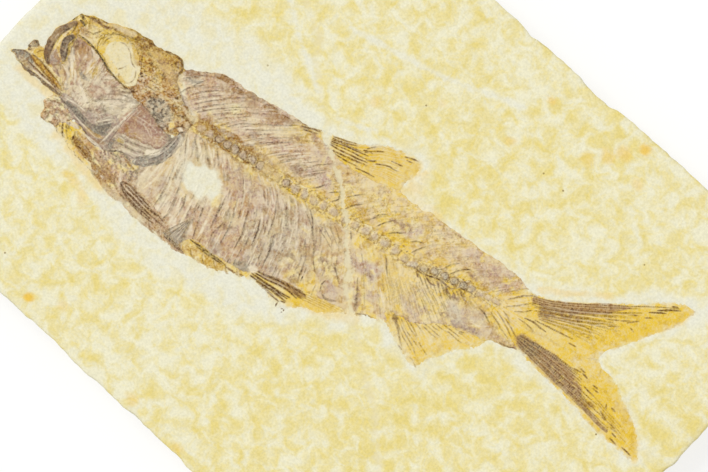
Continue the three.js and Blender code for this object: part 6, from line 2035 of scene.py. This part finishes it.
def add(tree, kind, links=None, **settings):
    """Adds a node. `links` gives its inputs, each as a number, a colour or another node's output."""
    node = tree.nodes.new(kind)
    for name, value in settings.items():
        setattr(node, name, value)
    for key, value in (links or {}).items():
        if isinstance(value, bpy.types.NodeSocket):
            tree.links.new(value, node.inputs[key])
        else:
            node.inputs[key].default_value = value
    return node


def opaque(shade):
    """A colour with an alpha of 1, as a colour socket takes it."""
    return (*shade, 1)


def start_material(name):
    material = bpy.data.materials.new(name)
    material.use_nodes = True
    tree = material.node_tree
    tree.nodes.clear()
    place = add(tree, "ShaderNodeTexCoord").outputs["Object"]
    return material, tree, place


def rock_colour(tree, place):
    """Fine-grained limestone: clotted yellow mottles about 3 mm across in cream mud, in paler and yellower
    areas about 20 mm across, with a grain of 0.4 mm, sparse dark specks, and thin laminae on the broken
    sides. It also gives the share of crystal in the healed crack, and the grain."""
    slab = bpy.context.scene.fossil_slab
    clots = add(
        tree, "ShaderNodeTexNoise",
        {"Vector": place, "Scale": 340, "Detail": 4, "Roughness": 0.6, "Distortion": 0.5},
    )
    areas = add(tree, "ShaderNodeTexNoise", {"Vector": place, "Scale": 42, "Detail": 2})
    grit = add(tree, "ShaderNodeTexNoise", {"Vector": place, "Scale": 2400, "Detail": 2})
    level = add(
        tree, "ShaderNodeMath", {0: areas.outputs["Fac"], 1: 0.3, 2: clots.outputs["Fac"]},
        operation="MULTIPLY_ADD",
    )
    yellow = add(tree, "ShaderNodeMapRange", {"Value": level.outputs[0], "From Min": 0.52, "From Max": 0.68})
    deep = add(
        tree, "ShaderNodeMapRange",
        {"Value": level.outputs[0], "From Min": 0.65, "From Max": 0.84, "To Max": 0.9},
    )
    base = add(
        tree, "ShaderNodeMix", {0: yellow.outputs[0], 6: opaque(slab.cream), 7: opaque(slab.straw)},
        data_type="RGBA",
    )
    stained = add(
        tree, "ShaderNodeMix", {0: deep.outputs[0], 6: base.outputs[2], 7: opaque(slab.mottle)},
        data_type="RGBA",
    )

    clean = add(tree, "ShaderNodeAttribute", attribute_name="scraped").outputs["Fac"]
    patchy = add(
        tree, "ShaderNodeMapRange",
        {"Value": level.outputs[0], "From Min": 0.54, "From Max": 0.8, "To Min": 0.95, "To Max": 0.6},
    )
    share = add(tree, "ShaderNodeMath", {0: clean, 1: patchy.outputs[0]}, operation="MULTIPLY")
    bared = add(
        tree, "ShaderNodeMix", {0: share.outputs[0], 6: stained.outputs[2], 7: opaque(slab.scraped)},
        data_type="RGBA",
    )

    iron = add(tree, "ShaderNodeAttribute", attribute_name="spots").outputs["Fac"]
    spotted = add(
        tree, "ShaderNodeMix", {0: iron, 6: bared.outputs[2], 7: opaque(slab.iron)}, data_type="RGBA",
    )

    shade = add(
        tree, "ShaderNodeMapRange",
        {"Value": grit.outputs["Fac"], "From Min": 0.25, "From Max": 0.75, "To Min": 0.9, "To Max": 1.07},
    )
    grained = add(
        tree, "ShaderNodeMix", {0: 1.0, 6: spotted.outputs[2], 7: shade.outputs[0]}, data_type="RGBA",
        blend_type="MULTIPLY",
    )

    cell = add(tree, "ShaderNodeTexVoronoi", {"Vector": place, "Scale": 190})
    dot = add(
        tree, "ShaderNodeMapRange", {"Value": cell.outputs["Distance"], "From Min": 0.05, "From Max": 0.025},
    )
    some = add(
        tree, "ShaderNodeMapRange", {"Value": cell.outputs["Color"], "From Min": 0.72, "From Max": 0.82},
    )
    specks = add(tree, "ShaderNodeMath", {0: dot.outputs[0], 1: some.outputs[0]}, operation="MULTIPLY")
    specked = add(
        tree, "ShaderNodeMix", {0: specks.outputs[0], 6: grained.outputs[2], 7: opaque(slab.speck)},
        data_type="RGBA",
    )

    # Laminae show only where the surface stands upright.
    upright = add(
        tree, "ShaderNodeSeparateXYZ", {0: add(tree, "ShaderNodeNewGeometry").outputs["True Normal"]},
    )
    tilt = add(tree, "ShaderNodeMath", {0: upright.outputs["Z"]}, operation="ABSOLUTE")
    side = add(tree, "ShaderNodeMapRange", {"Value": tilt.outputs[0], "From Min": 0.8, "From Max": 0.45})
    squashed = add(tree, "ShaderNodeVectorMath", {0: place, 1: (60, 60, 1900)}, operation="MULTIPLY")
    bands = add(
        tree, "ShaderNodeTexNoise",
        {"Vector": squashed.outputs[0], "Scale": 1.0, "Detail": 2, "Roughness": 0.6},
    )
    band = add(
        tree, "ShaderNodeMapRange",
        {"Value": bands.outputs["Fac"], "From Min": 0.42, "From Max": 0.62, "To Max": 0.8},
    )
    banded = add(tree, "ShaderNodeMath", {0: side.outputs[0], 1: band.outputs[0]}, operation="MULTIPLY")
    layered = add(
        tree, "ShaderNodeMix", {0: banded.outputs[0], 6: specked.outputs[2], 7: opaque(slab.lamina)},
        data_type="RGBA",
    )

    crack = add(tree, "ShaderNodeAttribute", attribute_name="crack").outputs["Fac"]
    frayed = add(
        tree, "ShaderNodeMath", {0: clots.outputs["Fac"], 1: 0.9, 2: crack}, operation="MULTIPLY_ADD",
    )
    filled = add(
        tree, "ShaderNodeMapRange",
        {"Value": frayed.outputs[0], "From Min": 0.6, "From Max": 1.6, "To Max": 0.95},
    )
    return layered.outputs[2], filled.outputs[0], grit.outputs["Fac"]


def finish_material(material, tree, colour_socket, roughness, height, depth):
    bump = add(tree, "ShaderNodeBump", {"Height": height, "Strength": 1.0, "Distance": depth})
    shader = add(
        tree, "ShaderNodeBsdfPrincipled",
        {"Base Color": colour_socket, "Roughness": roughness, "Specular IOR Level": 0.25,
         "Normal": bump.outputs[0]},
    )
    add(tree, "ShaderNodeOutputMaterial", {"Surface": shader.outputs[0]})
    return material


def limestone():
    """Lithographic limestone, split along its bedding and left unpolished: matt, pale and warm."""
    material, tree, place = start_material("Laminated limestone, split along the bedding")
    rock, filled, grit = rock_colour(tree, place)
    vein = opaque(bpy.context.scene.fossil_slab.vein)
    faint = add(tree, "ShaderNodeMath", {0: filled, 1: 0.6}, operation="MULTIPLY")
    veined = add(tree, "ShaderNodeMix", {0: faint.outputs[0], 6: rock, 7: vein}, data_type="RGBA")
    return finish_material(material, tree, veined.outputs[2], 0.9, grit, 0.05 * MM)


def fossil_bone(name, plate, shine, crushed):
    """Bone turned to brown and grey apatite, pressed flat in the rock. The painted amounts lay gold iron
    stain, thin scale or plate, thick bone, bare creases and dark mineral over the limestone, one on another.
    Tan clouds 2 mm across and flecks of amber and sepia about 0.5 mm across give the crushed, grainy look of
    old bone. `shine` is how much smoother dense bone is, and `crushed` how broken and flecked it is."""
    fish = bpy.context.scene.fossil_fish
    material, tree, place = start_material(name)
    rock, filled, _ = rock_colour(tree, place)
    fine = add(tree, "ShaderNodeTexNoise", {"Vector": place, "Scale": 2500, "Detail": 3, "Roughness": 0.7})
    clouds = add(tree, "ShaderNodeTexNoise", {"Vector": place, "Scale": 520, "Detail": 5, "Roughness": 0.65})
    flecks = add(tree, "ShaderNodeTexNoise", {"Vector": place, "Scale": 1600, "Detail": 3, "Roughness": 0.6})
    least = 1 - 0.6 * crushed
    uneven = add(
        tree, "ShaderNodeMapRange",
        {"Value": fine.outputs["Fac"], "From Min": 0.34, "From Max": 0.62, "To Min": least, "To Max": 1.2},
    )
    faint = add(
        tree, "ShaderNodeMapRange",
        {"Value": fine.outputs["Fac"], "From Min": 0.34, "From Max": 0.62, "To Min": 0.74, "To Max": 1.12},
    )
    amounts = {tone: add(tree, "ShaderNodeAttribute", attribute_name=tone).outputs["Fac"] for tone in TONES}
    broken = {
        tone: add(
            tree, "ShaderNodeMath", {0: amounts[tone], 1: (faint if tone == "gold" else uneven).outputs[0]},
            operation="MULTIPLY", use_clamp=True,
        )
        for tone in ("gold", "film", "bone", "ink", "chalk")
    }
    tan = add(
        tree, "ShaderNodeMapRange",
        {"Value": clouds.outputs["Fac"], "From Min": 0.44, "From Max": 0.64, "To Max": 0.75 * crushed},
    )
    warm_plate = add(
        tree, "ShaderNodeMix", {0: tan.outputs[0], 6: opaque(plate), 7: opaque(fish.tan)}, data_type="RGBA",
    )
    any_plate = add(
        tree, "ShaderNodeMix", {0: amounts["cool"], 6: warm_plate.outputs[2], 7: opaque(fish.slate)},
        data_type="RGBA",
    )
    any_ink = add(
        tree, "ShaderNodeMix", {0: amounts["cool"], 6: opaque(fish.ink), 7: opaque(fish.lead)},
        data_type="RGBA",
    )
    body = add(
        tree, "ShaderNodeMath", {0: broken["film"].outputs[0], 1: broken["bone"].outputs[0]},
        operation="MAXIMUM",
    )
    amber = add(
        tree, "ShaderNodeMapRange",
        {"Value": flecks.outputs["Fac"], "From Min": 0.53, "From Max": 0.7, "To Max": 0.5 * crushed},
    )
    amber_here = add(tree, "ShaderNodeMath", {0: amber.outputs[0], 1: body.outputs[0]}, operation="MULTIPLY")
    dark = add(
        tree, "ShaderNodeMapRange",
        {"Value": fine.outputs["Fac"], "From Min": 0.54, "From Max": 0.70, "To Max": 0.5 * crushed},
    )
    dark_here = add(tree, "ShaderNodeMath", {0: dark.outputs[0], 1: body.outputs[0]}, operation="MULTIPLY")
    under = rock
    for amount, tone_colour in (
        (broken["gold"].outputs[0], opaque(fish.gold)),
        (broken["film"].outputs[0], any_plate.outputs[2]),
        (broken["bone"].outputs[0], opaque(fish.umber)),
        (amber_here.outputs[0], opaque(fish.amber)),
        (dark_here.outputs[0], opaque(fish.sepia)),
        (broken["chalk"].outputs[0], opaque(fish.chalk)),
        (broken["ink"].outputs[0], any_ink.outputs[2]),
        (filled, opaque(bpy.context.scene.fossil_slab.vein)),
    ):
        under = add(tree, "ShaderNodeMix", {0: amount, 6: under, 7: tone_colour}, data_type="RGBA").outputs[2]
    gloss = add(
        tree, "ShaderNodeMapRange", {"Value": body.outputs[0], "To Min": MATT, "To Max": MATT - shine},
    )
    return finish_material(material, tree, under, gloss.outputs[0], fine.outputs["Fac"], 0.1 * MM)


# ---- Operators ---------------------------------------------------------------------------------------------

_made = {}


# The bone materials: what each is, the colour of its thin plates, its shine and how crushed it is.
BONES = {
    "brown_bone": ("Fossil bone, iron-stained brown apatite", "mauve", 0.25, 1.0),
    "grey_bone": ("Fossil bone, dense grey apatite", "mauve", 0.3, 0.45),
    "mauve_plate": ("Fossil bone plate, thin pressed mauve apatite", "rose", 0.3, 0.45),
    "scale_film": ("Scale film, pressed into the bedding", "mauve", 0.15, 0.7),
    "fin_film": ("Fin web, iron stain with bony rays", "mauve", 0.1, 0.8),
}


def slot_material(slot):
    """One material for each finish. Dense bone takes a low sheen, and film and stain stay matt."""
    if slot not in _made:
        if slot == "limestone":
            _made[slot] = limestone()
        else:
            name, plate, shine, crushed = BONES[slot]
            plate_colour = getattr(bpy.context.scene.fossil_fish, plate)
            _made[slot] = fossil_bone(name, plate_colour, shine, crushed)
    return _made[slot]


def place_piece(obj, node):
    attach(obj, "root")
    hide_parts(node)


class BoneOperator:
    """What the operators that make bones share: each bone comes from its places on the drawn sheet."""

    bl_options = {"REGISTER", "UNDO"}
    bones = ()

    def execute(self, context):
        for node in self.bones:
            place_piece(bone_mesh(node, slot_material(SLOTS[node])), node)
        return {"FINISHED"}


class FOSSIL_OT_slab(Operator):
    """Make the limestone slab, with its split face, broken sides and healed crack"""

    bl_idname = "fossil.slab"
    bl_label = "Limestone Slab"
    bl_options = {"REGISTER", "UNDO"}

    def execute(self, context):
        node = "limestone_slab"
        place_piece(slab_mesh(node, context.scene.fossil_slab, slot_material(SLOTS[node])), node)
        return {"FINISHED"}


class FOSSIL_OT_skull(BoneOperator, Operator):
    """Make the skull roof and braincase, the ring around the eye and the crushed cheek"""

    bl_idname = "fossil.skull"
    bl_label = "Skull, Eye and Cheek"
    bones = ("skull_roof_and_braincase", "eye_ring", "cheek")


class FOSSIL_OT_jaws(BoneOperator, Operator):
    """Make the upper and lower jaws"""

    bl_idname = "fossil.jaws"
    bl_label = "Jaws"
    bones = ("upper_jaw", "lower_jaw")


class FOSSIL_OT_gill_covers(BoneOperator, Operator):
    """Make the plates of the gill cover and the shoulder girdle behind it"""

    bl_idname = "fossil.gill_covers"
    bl_label = "Gill Covers and Shoulder"
    bones = ("preopercle", "opercle", "subopercle", "shoulder_girdle")


class FOSSIL_OT_throat(BoneOperator, Operator):
    """Make the tongue bones and the broken bones of the throat"""

    bl_idname = "fossil.throat"
    bl_label = "Tongue and Throat"
    bones = ("tongue_bones", "throat_bones")


class FOSSIL_OT_backbone(BoneOperator, Operator):
    """Make the chain of vertebrae"""

    bl_idname = "fossil.backbone"
    bl_label = "Backbone"
    bones = ("backbone",)


class FOSSIL_OT_flanks(BoneOperator, Operator):
    """Make the ribbed flanks, the tail stem and the scutes along the belly"""

    bl_idname = "fossil.flanks"
    bl_label = "Flanks and Scutes"
    bones = ("upper_flank", "rib_cage", "tail_stem", "belly_scutes")


class FOSSIL_OT_fins(BoneOperator, Operator):
    """Make the fins of the back, breast, belly and vent"""

    bl_idname = "fossil.fins"
    bl_label = "Fins"
    bones = ("dorsal_fin", "pectoral_fin", "pelvic_fin", "anal_fin")


class FOSSIL_OT_tail(BoneOperator, Operator):
    """Make the forked tail and the fan of bones that carries it"""

    bl_idname = "fossil.tail"
    bl_label = "Tail"
    bones = ("tail_base", "tail_fin_upper_lobe", "tail_fin_lower_lobe")


# The stage, in metres and radians. The camera is far up, so that the view is nearly without perspective.
TABLE_REACH = 3.0
TABLE_GLOW = 0.68
SKY_STRENGTH = 0.66
KEY_STRENGTH = 1.35
KEY_WIDTH = math.radians(30)
KEY_FROM = (-0.62, 0.55)  # across and up the picture, for 1 towards the camera
CAMERA_TURN = math.radians(42)
CAMERA_HEIGHT = 1.2
VIEW_WIDTH = 141.6 * MM


class FOSSIL_OT_stage(Operator):
    """Set out the white floor, the soft light and the camera straight above the slab"""

    bl_idname = "fossil.stage"
    bl_label = "Floor, Light and Camera"
    bl_options = {"REGISTER", "UNDO"}

    def execute(self, context):
        scene = context.scene
        scene.view_settings.view_transform = "Standard"
        acrylic = bpy.data.materials.new("White acrylic table, lit from below")
        acrylic.use_nodes = True
        shader = acrylic.node_tree.nodes["Principled BSDF"]
        shader.inputs["Base Color"].default_value = (0.34, 0.34, 0.34, 1)
        shader.inputs["Roughness"].default_value = 1.0
        shader.inputs["Specular IOR Level"].default_value = 0.0
        shader.inputs["Emission Color"].default_value = (1, 1, 1, 1)
        shader.inputs["Emission Strength"].default_value = TABLE_GLOW
        a = TABLE_REACH
        corners = [(-a, -a, 0), (a, -a, 0), (a, a, 0), (-a, a, 0)]
        floor = new_object("floor", corners, [(0, 1, 2, 3)], acrylic)

        world = bpy.data.worlds.new("Soft studio room")
        world.use_nodes = True
        sky = world.node_tree.nodes["Background"]
        sky.inputs["Color"].default_value = (1, 1, 1, 1)
        sky.inputs["Strength"].default_value = SKY_STRENGTH
        scene.world = world

        key = bpy.data.lights.new("Large soft key", "SUN")
        key.energy = KEY_STRENGTH
        key.angle = KEY_WIDTH
        lamp = bpy.data.objects.new("Large soft key", key)
        scene.collection.objects.link(lamp)
        # The key comes from the upper left of the picture, so its direction turns with the camera.
        c, s = math.cos(CAMERA_TURN), math.sin(CAMERA_TURN)
        towards = Vector((KEY_FROM[0] * c - KEY_FROM[1] * s, KEY_FROM[0] * s + KEY_FROM[1] * c, 1))
        lamp.rotation_euler = towards.to_track_quat("Z", "Y").to_euler()

        camera = bpy.data.cameras.new("Camera above")
        camera.sensor_fit = "HORIZONTAL"
        camera.sensor_width = 36
        camera.lens = camera.sensor_width * CAMERA_HEIGHT / VIEW_WIDTH
        camera.clip_end = 20
        eye = bpy.data.objects.new("Camera above", camera)
        scene.collection.objects.link(eye)
        eye.location = (0.3 * MM, 1.65 * MM, BED * MM + CAMERA_HEIGHT)
        eye.rotation_euler = (0, 0, CAMERA_TURN)
        scene.camera = eye
        return {"FINISHED"}


BUILDERS = (
    FOSSIL_OT_slab, FOSSIL_OT_skull, FOSSIL_OT_jaws, FOSSIL_OT_gill_covers, FOSSIL_OT_throat,
    FOSSIL_OT_backbone, FOSSIL_OT_flanks, FOSSIL_OT_fins, FOSSIL_OT_tail, FOSSIL_OT_stage,
)


class FOSSIL_PT_panel(Panel):
    bl_label = "Fossil Fish Slab"
    bl_idname = "FOSSIL_PT_panel"
    bl_space_type = "VIEW_3D"
    bl_region_type = "UI"
    bl_category = "Fossil"

    def draw(self, context):
        layout = self.layout
        for settings in (context.scene.fossil_slab, context.scene.fossil_fish):
            box = layout.box()
            for name in settings.bl_rna.properties.keys():
                if name not in ("rna_type", "name"):
                    box.prop(settings, name)
        for builder in BUILDERS:
            layout.operator(builder.bl_idname)


CLASSES = (SlabSettings, FishSettings, *BUILDERS, FOSSIL_PT_panel)


def register():
    for cls in CLASSES:
        bpy.utils.register_class(cls)
    bpy.types.Scene.fossil_slab = PointerProperty(type=SlabSettings)
    bpy.types.Scene.fossil_fish = PointerProperty(type=FishSettings)


def unregister():
    del bpy.types.Scene.fossil_fish
    del bpy.types.Scene.fossil_slab
    for cls in reversed(CLASSES):
        bpy.utils.unregister_class(cls)


def main():
    register()
    for builder in BUILDERS:
        group, action = builder.bl_idname.split(".")
        getattr(getattr(bpy.ops, group), action)()


if __name__ == "__main__":
    main()
